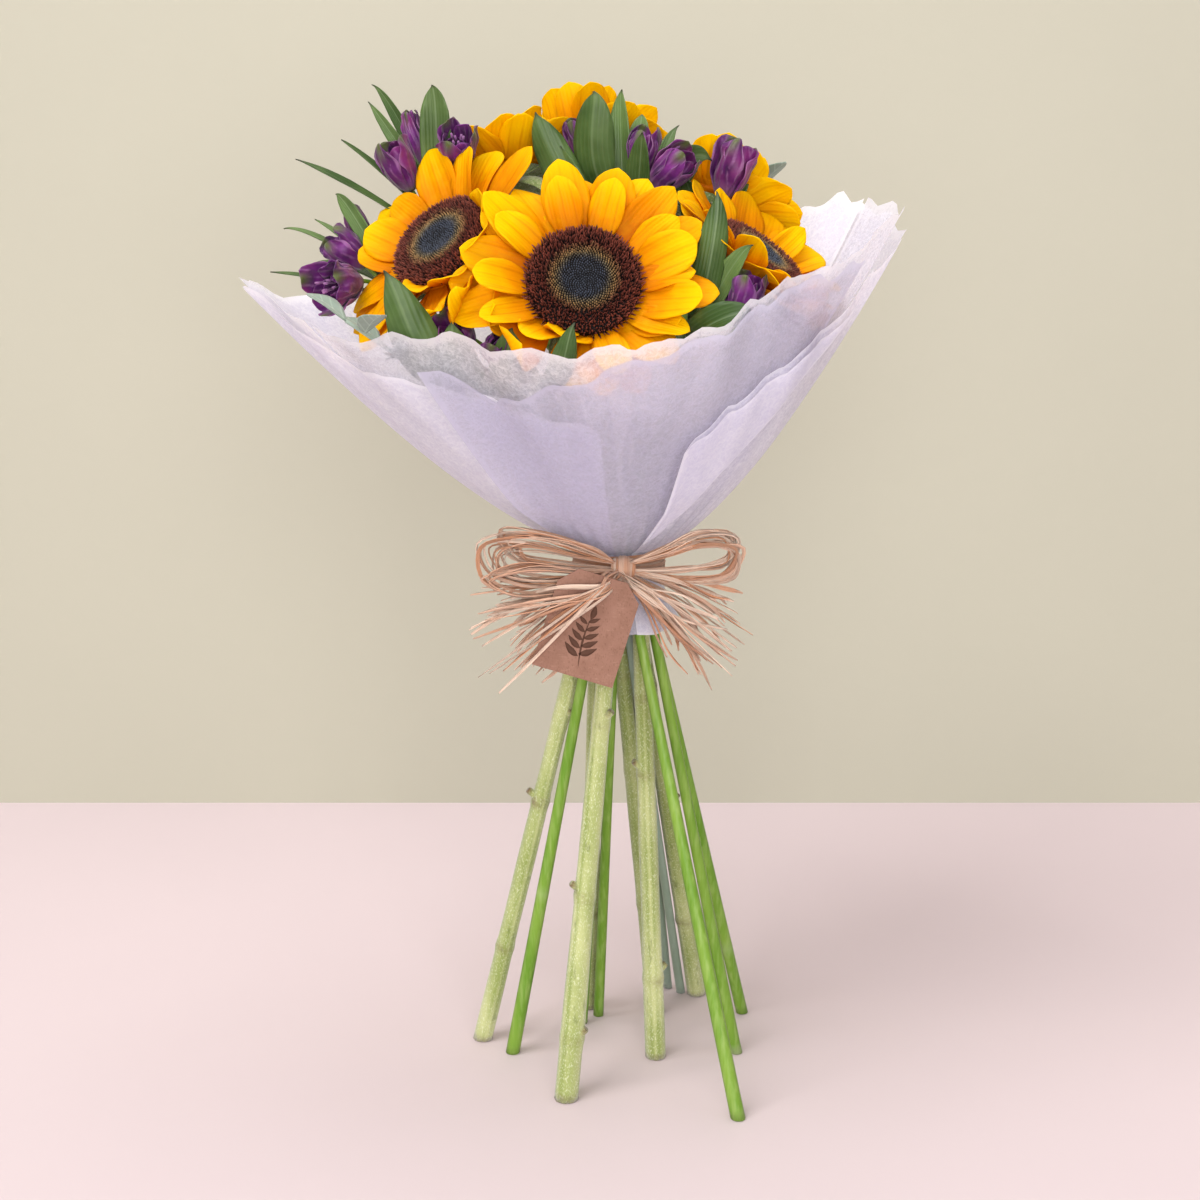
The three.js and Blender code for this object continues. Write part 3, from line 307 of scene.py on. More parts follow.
class Bench:
    """Models the small shapes by hand, from a primitive in edit mode."""

    @staticmethod
    def clear() -> None:
        """Leaves edit mode, with nothing selected."""
        if bpy.context.object and bpy.context.object.mode != "OBJECT":
            bpy.ops.object.mode_set(mode="OBJECT")
        bpy.ops.object.select_all(action="DESELECT")
        bpy.context.tool_settings.mesh_select_mode = (True, False, False)

    @staticmethod
    def pick(thing: Thing, test: Callable[[Vector], bool]) -> None:
        """Selects, in edit mode, the vertices whose place passes a test.

        Args:
            thing: the object in edit mode.
            test: whether a place belongs.
        """
        bpy.ops.object.mode_set(mode="EDIT")
        bpy.ops.mesh.select_all(action="DESELECT")
        bpy.ops.object.mode_set(mode="OBJECT")
        for vertex in thing.data.vertices:
            vertex.select = test(vertex.co)
        bpy.ops.object.mode_set(mode="EDIT")

    @classmethod
    def blade(cls, outline: Sequence[Pair], rows: int, columns: int) -> Shape:
        """A flat closed blade.

        Args:
            outline: share of the length and half the width there, at most 1.
            rows, columns: its faces along and across.

        Returns:
            The blade, with x from 0 at its root to 1 at its tip, y within 1 and z within 0.5.
        """
        cls.clear()
        bpy.ops.mesh.primitive_grid_add(x_subdivisions=rows, y_subdivisions=columns, size=2)
        thing = bpy.context.object
        places, widths = zip(*outline)
        steps = sorted({round(v.co.x, 5) for v in thing.data.vertices})
        for x in steps:
            share = (x + 1) / 2
            width = float(np.interp(share, places, widths))
            cls.pick(thing, lambda co, x=x: abs(co.x - x) < 1e-3)
            bpy.ops.transform.resize(value=(1, width, 1), center_override=(x, 0, 0))
        bpy.ops.mesh.select_all(action="SELECT")
        bpy.ops.transform.translate(value=(1, 0, -0.5))
        bpy.ops.transform.resize(value=(0.5, 1, 1), center_override=(0, 0, 0))
        bpy.ops.mesh.extrude_region_move(TRANSFORM_OT_translate={"value": (0, 0, 1)})
        bpy.ops.mesh.select_all(action="SELECT")
        bpy.ops.mesh.normals_make_consistent(inside=False)
        return Shape.taken_from(thing)

    @classmethod
    def turned(cls, profile: Sequence[Pair], sides: int) -> Shape:
        """A round closed shape about Z, extruded ring by ring.

        Args:
            profile: radius and height of each ring, from the bottom up.
            sides: how many sides each ring has.

        Returns:
            The closed shape.
        """
        cls.clear()
        radius, height = profile[0]
        bpy.ops.mesh.primitive_circle_add(vertices=sides, radius=radius, fill_type="NGON",
                                          location=(0, 0, height))
        thing = bpy.context.object
        bpy.ops.object.transform_apply(location=True)
        bpy.ops.object.mode_set(mode="EDIT")
        bpy.ops.mesh.select_all(action="SELECT")
        for new_radius, new_height in profile[1:]:
            bpy.ops.mesh.extrude_region_move(
                TRANSFORM_OT_translate={"value": (0, 0, new_height - height)})
            share = new_radius / radius
            bpy.ops.transform.resize(value=(share, share, 1), center_override=(0, 0, new_height))
            radius, height = new_radius, new_height
        bpy.ops.mesh.select_all(action="SELECT")
        bpy.ops.mesh.normals_make_consistent(inside=False)
        return Shape.taken_from(thing)


class Growth:
    """Copies of small shapes that grow together into one piece."""

    def __init__(self) -> None:
        """Starts with nothing."""
        self.points: list[Array] = []
        self.corners: list[Array] = []
        self.sizes: list[Array] = []
        self.values: dict[str, list[Array]] = {}
        self.count = 0

    def add(self, points: Array, shape: Shape, **values: Array | float) -> None:
        """Adds one copy of a shape with its points in place, and values for the finish.

        Args:
            points: the copy's points.
            shape: what it is a copy of.
            values: one number, or one for each point.
        """
        self.points.append(points)
        self.corners.append(shape.corners + self.count)
        self.sizes.append(shape.sizes)
        for name, value in values.items():
            self.values.setdefault(name, []).append(np.broadcast_to(value, len(points)))
        self.count += len(points)

    def build(self, name: str, finish: Material, slot: str, *nodes: str) -> Thing:
        """Makes the piece and lets it stand for CAD nodes.

        Args:
            name, finish: the piece's name and its material.
            slot: the material slot of the record.
            nodes: the nodes that it replaces.

        Returns:
            The piece.
        """
        mesh = bpy.data.meshes.new(name)
        points = (np.concatenate(self.points) + SHIFT) * MM
        corners = np.concatenate(self.corners).astype(np.int32)
        sizes = np.concatenate(self.sizes)
        mesh.vertices.add(len(points))
        mesh.vertices.foreach_set("co", points.ravel())
        mesh.loops.add(len(corners))
        mesh.loops.foreach_set("vertex_index", corners)
        mesh.polygons.add(len(sizes))
        starts = np.concatenate([[0], np.cumsum(sizes)[:-1]]).astype(np.int32)
        mesh.polygons.foreach_set("loop_start", starts)
        mesh.update(calc_edges=True)
        mesh.validate()
        mesh.shade_smooth()
        for key, parts in self.values.items():
            store(mesh, key, np.concatenate(parts))
        thing = bpy.data.objects.new(name, mesh)
        bpy.context.collection.objects.link(thing)
        return settle(thing, finish, slot, *nodes)


def settle(thing: Thing, finish: Material, slot: str,
           *nodes: str) -> Thing:
    """Gives a piece its finish, its body and the nodes that it stands for.

    Args:
        thing, finish: the piece and its material.
        slot: not used.
        nodes: the nodes that it replaces.

    Returns:
        The piece.
    """
    thing.data.materials.clear()
    thing.data.materials.append(finish)
    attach(thing, "root")
    if nodes:
        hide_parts(*nodes)
    triangles = sum(len(p.vertices) - 2 for p in thing.data.polygons)
    LOG.info("%s: %d triangles", thing.name, triangles)
    return thing


class Room:
    """What is already in place, so that blades can be tried for a clear way."""

    def __init__(self) -> None:
        """Starts with nothing in place."""
        self.owners: list[str] = []
        self.trees: list[BVHTree] = []
        self.low: list[Array] = []
        self.high: list[Array] = []

    def take(self, owner: str, points: Array, faces: list) -> None:
        """Keeps a place for a piece.

        Args:
            owner: whose place it is, which may cross it.
            points, faces: its form, in mm.
        """
        self.owners.append(owner)
        self.trees.append(BVHTree.FromPolygons(points.tolist(), faces))
        self.low.append(points.min(axis=0))
        self.high.append(points.max(axis=0))

    def take_node(self, name: str, owner: str) -> None:
        """Keeps the place of a CAD node, in the bunch's frame."""
        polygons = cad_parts[name].data.polygons
        self.take(owner, node_points(name), [list(p.vertices) for p in polygons])

    def hits(self, owner: str, points: Array, faces: list) -> int:
        """How often a blade would cross what belongs to others.

        Args:
            owner: whose blade it is.
            points, faces: the blade's form, in mm.

        Returns:
            The number of pairs of faces that meet.
        """
        low, high = points.min(axis=0), points.max(axis=0)
        near = np.all((np.array(self.low) < high) & (np.array(self.high) > low), axis=1)
        tree = None
        count = 0
        for i in np.flatnonzero(near):
            if self.owners[i] == owner:
                continue
            tree = tree or BVHTree.FromPolygons(points.tolist(), faces)
            count += len(tree.overlap(self.trees[i]))
        return count

    def clearest(self, owner: str, tries: Sequence[Array], faces: list) -> int:
        """The first try that crosses nothing, or else the one that crosses least.

        Args:
            owner: whose blade it is.
            tries: the blade's points, in order of liking.
            faces: the blade's faces.

        Returns:
            The try's number.
        """
        best, fewest = 0, None
        for i, points in enumerate(tries):
            found = self.hits(owner, points, faces)
            if found == 0:
                return i
            if fewest is None or found < fewest:
                best, fewest = i, found
        return best


# ---- finishes

def shade(code: str) -> Colour:
    """A colour for a shader, from its six-digit code."""
    parts = [int(code[i:i + 2], 16) / 255 for i in (0, 2, 4)]
    return tuple(c / 12.92 if c <= 0.04045 else ((c + 0.055) / 1.055) ** 2.4 for c in parts)


class Nodes:
    """The node tree of one finish, with the few kinds of node that the finishes share."""

    def __init__(self, name: str, roughness: float, sheen: float = 0.0, gloss: float = 0.3) -> None:
        """Starts a material with its main shader.

        Args:
            name: the material's.
            roughness, sheen, gloss: of its main shader.
        """
        self.material = bpy.data.materials.new(name)
        self.material.use_nodes = True
        self.tree = self.material.node_tree
        self.shader = self.tree.nodes["Principled BSDF"]
        self.out = self.tree.nodes["Material Output"]
        self.shader.inputs["Roughness"].default_value = roughness
        self.shader.inputs["Sheen Weight"].default_value = sheen
        self.shader.inputs["Specular IOR Level"].default_value = gloss

    def add(self, kind: str, inputs: dict, **settings: object) -> bpy.types.Node:
        """Adds a node, sets it and links or fills its inputs.

        Args:
            kind: Blender's name of the node.
            inputs: by name or number.
            settings: the node's own properties.

        Returns:
            The node.
        """
        node = self.tree.nodes.new(kind)
        for name, value in settings.items():
            setattr(node, name, value)
        for key, value in inputs.items():
            self.feed(value, node.inputs[key])
        return node

    def feed(self, value: object, socket: Socket) -> None:
        """Links a socket to another, or sets its value.

        Args:
            value: a socket, a colour or a number.
            socket: the input that takes it.
        """
        if isinstance(value, Socket):
            self.tree.links.new(value, socket)
        elif isinstance(value, tuple) and len(value) == 3 and socket.type == "RGBA":
            socket.default_value = (*value, 1.0)
        else:
            socket.default_value = value

    def value(self, name: str) -> Socket:
        """One of the piece's own values."""
        return self.add("ShaderNodeAttribute", {}, attribute_name=name).outputs["Fac"]

    def place(self, stretch: Triple = (1, 1, 1)) -> Socket:
        """Object coordinates, stretched."""
        where = self.add("ShaderNodeTexCoord", {}).outputs["Object"]
        return self.add("ShaderNodeMapping", {"Vector": where, "Scale": stretch}).outputs["Vector"]

    def noise(self, scale: float, detail: float = 3.0, stretch: Triple = (1, 1, 1),
              distortion: float = 0.0) -> Socket:
        """A cloudy pattern with features of 1/scale metres.

        Args:
            scale: features for each metre.
            detail, distortion: how fine and how bent it is.
            stretch: how much closer they are along each axis.

        Returns:
            From 0 to 1.
        """
        return self.add("ShaderNodeTexNoise", {
            "Vector": self.place(stretch), "Scale": scale, "Detail": detail,
            "Distortion": distortion}).outputs["Fac"]

    def calc(self, operation: str, a: object, b: object = 0.0,
             clamp: bool = False) -> Socket:
        """Arithmetic on one or two values."""
        return self.add("ShaderNodeMath", {0: a, 1: b}, operation=operation,
                        use_clamp=clamp).outputs[0]

    def plus(self, a: object, b: object, clamp: bool = False) -> Socket:
        """The sum of two values."""
        return self.calc("ADD", a, b, clamp)

    def times(self, a: object, b: object) -> Socket:
        """The product of two values."""
        return self.calc("MULTIPLY", a, b)

    def span(self, value: object, low: float, high: float, to_low: float = 0.0,
             to_high: float = 1.0) -> Socket:
        """A value brought from one range to another, and kept inside it.

        Args:
            value: what is brought over.
            low, high: the range that it comes from.
            to_low, to_high: the range that it goes to.

        Returns:
            The new value.
        """
        return self.add("ShaderNodeMapRange", {
            "Value": value, "From Min": low, "From Max": high, "To Min": to_low,
            "To Max": to_high}).outputs["Result"]

    def ramp(self, value: object, *stops: tuple[float, Colour]) -> Socket:
        """Colours along a value.

        Args:
            value: from 0 to 1.
            stops: place and colour, from the lowest.

        Returns:
            The colour.
        """
        node = self.add("ShaderNodeValToRGB", {"Fac": value})
        band = node.color_ramp
        while len(band.elements) < len(stops):
            band.elements.new(0.5)
        for element, (place, colour) in zip(band.elements, stops):
            element.position = place
            element.color = (*colour, 1.0)
        return node.outputs["Color"]

    def mix(self, share: object, a: object, b: object) -> Socket:
        """A blend of two colours.

        Args:
            share: how much of b.
            a, b: the two colours.

        Returns:
            The colour.
        """
        node = self.add("ShaderNodeMix", {}, data_type="RGBA")
        self.feed(share, node.inputs["Factor"])
        for socket, value in zip([s for s in node.inputs if s.type == "RGBA"], (a, b)):
            self.feed(value, socket)
        return next(s for s in node.outputs if s.type == "RGBA")

    def blend(self, share: object, a: Socket,
              b: Socket) -> Socket:
        """A blend of two shaders."""
        return self.add("ShaderNodeMixShader", {0: share, 1: a, 2: b}).outputs[0]

    def dress(self, colour: object, height: object = None, relief: float = 0.0002,
              glow: float = 0.0) -> Material:
        """Finishes the material.

        Args:
            colour: of the surface.
            height: the bump's height, from 0 to 1, and relief its depth in metres.
            glow: share of the light that comes through the blade.

        Returns:
            The material.
        """
        self.feed(colour, self.shader.inputs["Base Color"])
        if height is not None:
            bump = self.add("ShaderNodeBump", {"Height": height, "Distance": relief,
                                               "Strength": 1.0})
            self.feed(bump.outputs["Normal"], self.shader.inputs["Normal"])
        if glow > 0:
            through = self.add("ShaderNodeBsdfTranslucent", {"Color": colour})
            both = self.blend(glow, self.shader.outputs[0], through.outputs[0])
            self.feed(both, self.out.inputs["Surface"])
        return self.material


@dataclass(frozen=True)
class PetalFinish:
    """The rays: bright yellow, orange towards the disc, with long shallow grooves darkened by
    painted shade.
    """

    tip: Colour = shade("fccd00")
    middle: Colour = shade("ef9b00")
    root: Colour = shade("d06a00")
    # painted shade: the darker orange put into the grooves
    fold: Colour = shade("cc6e00")

    def make(self) -> Material:
        """Builds the material.

        Returns:
            The material.
        """
        n = Nodes("petal_yellow", 0.5, 0.0, 0.06)
        along, across, tone = n.value("along"), n.value("across"), n.value("tone")
        waver = n.times(n.noise(70), 2.2)
        lines = n.calc("SINE", n.plus(n.times(across, 10.0), waver))
        fine = n.calc("SINE", n.plus(n.times(across, 34.0), waver))
        groove = n.plus(n.times(lines, 0.5), n.times(fine, 0.2))
        place = n.plus(along, n.times(n.calc("SUBTRACT", tone, 0.5), 0.5))
        colour = n.ramp(place, (0.02, self.root), (0.45, self.middle), (0.95, self.tip))
        # painted shade: the grooves darken towards the fold colour, fully up to half the length and
        # fading out at the tip
        crease = n.times(n.span(groove, 0.2, 0.7, 0.0, 0.42), n.span(along, 1.0, 0.55))
        colour = n.mix(crease, colour, self.fold)
        cloud = n.noise(75, 3)
        colour = n.mix(n.span(cloud, 0.5, 0.75, 0.0, 0.4), colour, self.tip)
        height = n.plus(groove, n.times(n.noise(350), 0.5))
        return n.dress(colour, height, 0.00026, 0.34)


@dataclass(frozen=True)
class DiscFinish:
    """The disc: maroon bristles outside, tan spirals, a slate-blue heart; florets near black at
    their feet, partly painted shade.
    """

    heart: Colour = shade("4b515f")
    spiral: Colour = shade("a07e50")
    bristle_tip: Colour = shade("8c4634")

    def make(self) -> Material:
        """Builds the material.

        Returns:
            The material.
        """
        n = Nodes("disc_florets", 0.7)
        share, tip, tone = n.value("share"), n.value("tip"), n.value("tone")
        # the feet of the florets and the dome between them are near black: partly the disc's own
        # dark colour, partly painted shade between the florets
        foot = n.ramp(share, (0.0, shade("15161b")), (0.36, shade("17120e")),
                      (0.58, shade("150907")), (0.8, shade("1c0907")))
        top = n.ramp(share, (0.0, shade("3c4049")), (0.36, self.heart), (0.45, shade("75684f")),
                     (0.52, self.spiral), (0.6, shade("8c6040")), (0.66, shade("6a3024")),
                     (0.97, self.bristle_tip))
        # painted shade: each floret runs from the dark foot colours at its base to the top colours
        # at its tip
        light = n.span(n.plus(tip, n.times(tone, 0.7)), 0.55, 1.5)
        return n.dress(n.mix(light, foot, top))


@dataclass(frozen=True)
class StemFinish:
    """A sunflower's stem, cup or bract: pale, hairy, mottled, with brown scars."""

    pale: Colour = shade("b6ba80")
    green: Colour = shade("8a964f")
    scar: Colour = shade("6b5638")

    def make(self) -> Material:
        """Builds the material.

        Returns:
            The material.
        """
        n = Nodes("sunflower_green", 0.8, 0.4)
        rib, scar, tone = n.value("rib"), n.value("scar"), n.value("tone")
        cloud = n.noise(45, 4, (1, 1, 0.35))
        colour = n.mix(n.span(n.plus(cloud, n.times(rib, 0.16)), 0.34, 0.68),
                       self.green, self.pale)
        colour = n.mix(n.span(tone, 0.0, 1.0, 0.0, 0.8), colour, shade("54722f"))
        hair = n.noise(1500, 2, (1, 1, 0.5))
        colour = n.mix(n.span(hair, 0.54, 0.68, 0.0, 0.55), colour, shade("d9dcb8"))
        fleck = n.noise(260, 3, (1, 1, 0.3))
        colour = n.mix(n.span(fleck, 0.62, 0.74, 0.0, 0.6), colour, shade("66703a"))
        brown = n.times(scar, n.span(n.noise(300), 0.25, 0.6))
        colour = n.mix(brown, colour, self.scar)
        return n.dress(colour, n.plus(hair, n.times(fleck, 0.8)), 0.0005)


@dataclass(frozen=True)
class LeafFinish:
    """Smooth green stem and leaf, with fine veins along the blade."""

    deep: Colour = shade("375020")
    bright: Colour = shade("6c864a")
    stripe: Colour = shade("9db086")

    def make(self) -> Material:
        """Builds the material.

        Returns:
            The material.
        """
        n = Nodes("alstroemeria_green", 0.38)
        across, along, stem = n.value("across"), n.value("along"), n.value("stem")
        tone = n.value("tone")
        veins = n.calc("SINE", n.times(across, 30.0))
        cloud = n.plus(n.noise(45, 3), n.times(tone, 0.5))
        colour = n.mix(n.span(cloud, 0.45, 1.05), self.deep, self.bright)
        middle = n.span(n.calc("ABSOLUTE", across), 0.0, 0.08, 0.26, 0.0)
        colour = n.mix(middle, colour, self.stripe)
        colour = n.mix(n.times(n.span(veins, 0.2, 1.0, 0.0, 0.1), n.noise(60)), colour, self.stripe)
        colour = n.mix(n.span(along, 0.86, 0.97, 0.0, 0.85), colour, shade("26231a"))
        shoot = n.mix(n.span(n.noise(70, 3, (1, 1, 0.2)), 0.3, 0.7),
                      shade("5f8c22"), shade("84a53e"))
        shoot = n.mix(n.span(n.noise(420, 2, (1, 1, 0.12)), 0.45, 0.7, 0, 0.5),
                      shoot, shade("9fb765"))
        shoot = n.mix(n.value("node"), shoot, shade("b4c391"))
        colour = n.mix(stem, colour, shoot)
        return n.dress(colour, veins, 0.00005, 0.14)


@dataclass(frozen=True)
class BloomFinish:
    """A violet bloom with darker streaks, pale edges and green outer tips."""

    deep: Colour = shade("3a0c46")
    violet: Colour = shade("8c3490")
    edge: Colour = shade("b884b4")

    def make(self) -> Material:
        """Builds the material.

        Returns:
            The material.
        """
        n = Nodes("bloom_violet", 0.4, 0.15)
        across, along, tone = n.value("across"), n.value("along"), n.value("tone")
        waver = n.times(n.noise(120), 5.0)
        streak = n.calc("SINE", n.plus(n.times(across, 13.0), waver))
        cloud = n.noise(90, 3)
        colour = n.mix(n.span(cloud, 0.32, 0.68), self.deep, self.violet)
        colour = n.mix(n.span(n.noise(55, 2), 0.5, 0.7, 0.0, 0.55), colour, shade("a03278"))
        colour = n.mix(n.span(tone, 0, 1, 0, 0.6), colour, self.deep)
        pale = n.times(n.span(streak, 0.3, 1.0, 0.0, 0.42), n.span(n.noise(170), 0.4, 0.65))
        colour = n.mix(pale, colour, self.edge)
        rim = n.span(n.calc("ABSOLUTE", across), 0.82, 1.0, 0.0, 0.5)
        colour = n.mix(rim, colour, self.edge)
        base = n.span(along, 0.34, 0.04, 0.0, 0.85)
        colour = n.mix(base, colour, shade("94708c"))
        colour = n.mix(n.span(along, 0.14, 0.0, 0.0, 0.9), colour, shade("66743f"))
        green = n.times(n.span(n.calc("ABSOLUTE", across), 0.5, 0.12), n.span(along, 0.66, 0.92))
        colour = n.mix(n.times(green, n.value("outer")), colour, shade("5b6236"))
        return n.dress(colour, n.plus(n.times(streak, 0.5), n.noise(260)),
                       0.0003, 0.22)


@dataclass(frozen=True)
class WrapFinish:
    """White non-woven cloth with fine loose fibres, which lets light through; painted shade on some
    sheets, painted highlight on cut edges.
    """

    white: Colour = shade("fbf9ff")
    thin: Colour = shade("eae7f6")

    def fibres(self, n: Nodes, scale: float) -> Socket:
        """Fine curved lines where a cloudy pattern passes its middle."""
        level = n.calc("ABSOLUTE", n.calc("SUBTRACT", n.noise(scale, 1.5, distortion=0.6), 0.5))
        return n.span(level, 0.0, 0.035, 1.0, 0.0)

    def make(self) -> Material:
        """Builds the material.

        Returns:
            The material.
        """
        n = Nodes("wrap_white", 0.85, 0.15, 0.1)
        veil, tint, hem = n.value("veil"), n.value("tint"), n.value("hem")
        lines = n.calc("MAXIMUM", self.fibres(n, 130.0), self.fibres(n, 210.0))
        lines = n.calc("MAXIMUM", lines, self.fibres(n, 330.0))
        cloud = n.plus(n.times(n.noise(60, 3), 0.35), n.times(n.noise(420, 3), 0.65))
        body = n.plus(n.times(lines, 0.25), cloud)
        # cut edges: painted whiter as a painted highlight, and made less see-through as a denser
        # edge
        body = n.plus(body, n.times(hem, 0.5), clamp=True)
        colour = n.mix(n.span(body, 0.3, 0.9), self.thin, self.white)
        # painted shade: sheets with a painted brightness below 1 are pulled towards lilac grey
        colour = n.mix(tint, shade("c8c4d8"), colour)
        n.feed(colour, n.shader.inputs["Base Color"])
        through = n.add("ShaderNodeBsdfTranslucent", {"Color": colour})
        cloth = n.blend(0.5, n.shader.outputs[0], through.outputs[0])
        clear = n.add("ShaderNodeBsdfTransparent", {})
        share = n.times(veil, n.span(body, 0.3, 0.85, 1.5, 0.5))
        sheet = n.blend(share, cloth, clear.outputs[0])
        bump = n.add("ShaderNodeBump", {"Height": lines, "Distance": 0.0001, "Strength": 0.5})
        n.feed(bump.outputs["Normal"], n.shader.inputs["Normal"])
        n.feed(sheet, n.out.inputs["Surface"])
        return n.material


@dataclass(frozen=True)
class RaffiaFinish:
    """Dry raffia: tan to pinkish straw, with fine lines along each strand."""

    straw: Colour = shade("ffe2ca")
    tan: Colour = shade("d8966c")

    def make(self) -> Material:
        """Builds the material.

        Returns:
            The material.
        """
        n = Nodes("raffia_straw", 0.55, 0.2)
        across, along, tone = n.value("across"), n.value("along"), n.value("tone")
        waver = n.times(n.noise(60), 2.0)
        lines = n.calc("SINE", n.plus(n.times(across, 13.0), waver))
        mottle = n.plus(n.span(tone, 0.1, 0.9, 0, 1), n.times(lines, 0.16), clamp=True)
        colour = n.mix(mottle, self.straw, self.tan)
        colour = n.mix(n.span(n.noise(120, 3), 0.52, 0.78, 0.0, 0.4), colour, shade("b98563"))
        colour = n.mix(n.span(along, 0.88, 1.0, 0.0, 0.35), colour, shade("f3dcc8"))
        return n.dress(colour, lines, 0.0002, 0.15)


TAG_HOLE = vec(0, -53.2, 297)


@dataclass
class TagPrint:
    """A generic leafy sprig printed on the card, where the card is otherwise bare."""

    lean: float = math.radians(17)
    drop: float = 44.0
    height: float = 27.0
    pairs: int = 5
    lift: float = 0.07

    def place(self, aside: float, up: float, front: float) -> Array:
        """A place on the card's face, measured from its hole.

        Args:
            aside, up, front: mm across the card, up it, and its y.

        Returns:
            The place.
        """
        x = TAG_HOLE[0] + aside * math.cos(self.lean) + up * math.sin(self.lean)
        z = TAG_HOLE[2] - aside * math.sin(self.lean) + up * math.cos(self.lean)
        return vec(x, front, z)

    def build(self, finish: Material) -> None:
        """Makes the sprig just over the card's face.

        Args:
            finish: the ink.
        """
        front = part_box("tag")[0].y / MM - SHIFT[1] - self.lift
        leaf = Bench.blade(((0, 0.1), (0.25, 0.8), (0.5, 1.0), (0.8, 0.55), (1, 0.04)), 10, 2)
        growth = Growth()

        def stroke(start: Pair, bend: Pair, end: Pair,
                   width: float) -> None:
            """Adds one printed stroke or leaf.

            Args:
                start, bend, end: across and up the card, in mm.
                width: in mm.
            """
            spine = Bezier([self.place(*p, front) for p in (start, bend, end)])
            flat = leaf.points * vec(1, width / 2, 0.06)
            across = self.place(end[1] - start[1], start[0] - end[0], 0) - self.place(0, 0, 0)
            growth.add(lay(flat, spine, across), leaf, along=leaf.points[:, 0])

        base = -self.drop
        stroke((1.5, base), (-1.5, base + 0.5 * self.height), (0.5, base + self.height), 1.1)
        stroke((0.5, base + self.height - 1), (1.5, base + self.height + 3),
               (0.8, base + self.height + 7), 3.4)
        for i in range(self.pairs):
            up = base + self.height * (0.2 + 0.165 * i)
            size = 1 - 0.09 * i
            for side in (-1, 1):
                root = (0.1 * side - 0.4, up + (0 if side < 0 else 1.2))
                stroke(root, (root[0] + 4 * side * size, root[1] + 1.0),
                       (root[0] + 8.5 * side * size, root[1] + 5.5 * size), 3.6 * size)
        growth.build("tag_sprig", finish, "card")


@dataclass(frozen=True)
class CardFinish:
    """Brown kraft card with small fibres and specks."""

    kraft: Colour = shade("936e5e")

    def make(self) -> Material:
        """Builds the material.

        Returns:
            The material.
        """
        n = Nodes("kraft_card", 0.85, 0.0, 0.1)
        colour = n.mix(n.span(n.noise(90, 5), 0.3, 0.7), shade("856252"), self.kraft)
        speck = n.noise(1700, 3, (1, 1, 0.4))
        colour = n.mix(n.span(speck, 0.55, 0.7, 0, 0.45), colour, shade("6a4838"))
        colour = n.mix(n.span(n.noise(1300, 2, (0.35, 1, 1)), 0.6, 0.75, 0, 0.35), colour,
                       shade("a98775"))
        return n.dress(colour, speck, 0.00006)


@dataclass(frozen=True)
class EucalyptusFinish:
    """Grey-green leaf with a waxy bloom."""

    grey: Colour = shade("93a296")
    green: Colour = shade("6b7c68")

    def make(self) -> Material:
        """Builds the material.

        Returns:
            The material.
        """
        n = Nodes("eucalyptus_grey", 0.6, 0.25)
        across, along = n.value("across"), n.value("along")
        side = n.plus(n.times(n.calc("ABSOLUTE", across), -9.0), n.times(along, 24.0))
        veins = n.span(n.calc("SINE", side), 0.75, 1.0, 0.0, 0.3)
        colour = n.mix(n.noise(70, 4), self.green, self.grey)
        colour = n.mix(n.plus(veins, n.span(n.calc("ABSOLUTE", across), 0, 0.07, 0.4, 0)),
                       colour, shade("b9cbb8"))
        return n.dress(colour, veins, 0.0001, 0.1)


@dataclass(frozen=True)
class PlainFinish:
    """The print on the card and the surfaces of the stage."""

    name: str
    colour: Colour
    roughness: float = 0.8
    cloud: float = 0.04

    def make(self) -> Material:
        """Builds the material.

        Returns:
            The material.
        """
        n = Nodes(self.name, self.roughness)
        darker = tuple(c * (1 - 3 * self.cloud) for c in self.colour)
        colour = n.mix(n.span(n.noise(3.0, 2), 0.3, 0.7), darker, self.colour)
        return n.dress(colour, n.noise(900, 2), 0.00004)


# ---- the wrap

@dataclass
class Sheet:
    """One sheet of the wrap: its side edges, in columns round the tie, its layer and its rim."""

    name: str
    start: float
    end: float
    layer: int
    rim: Sequence[float]
    veil: float = 0.25
    # painted shade: below 1 the sheet is painted towards lilac grey
    tint: float = 1.0
    free: tuple[bool, bool] = (False, False)


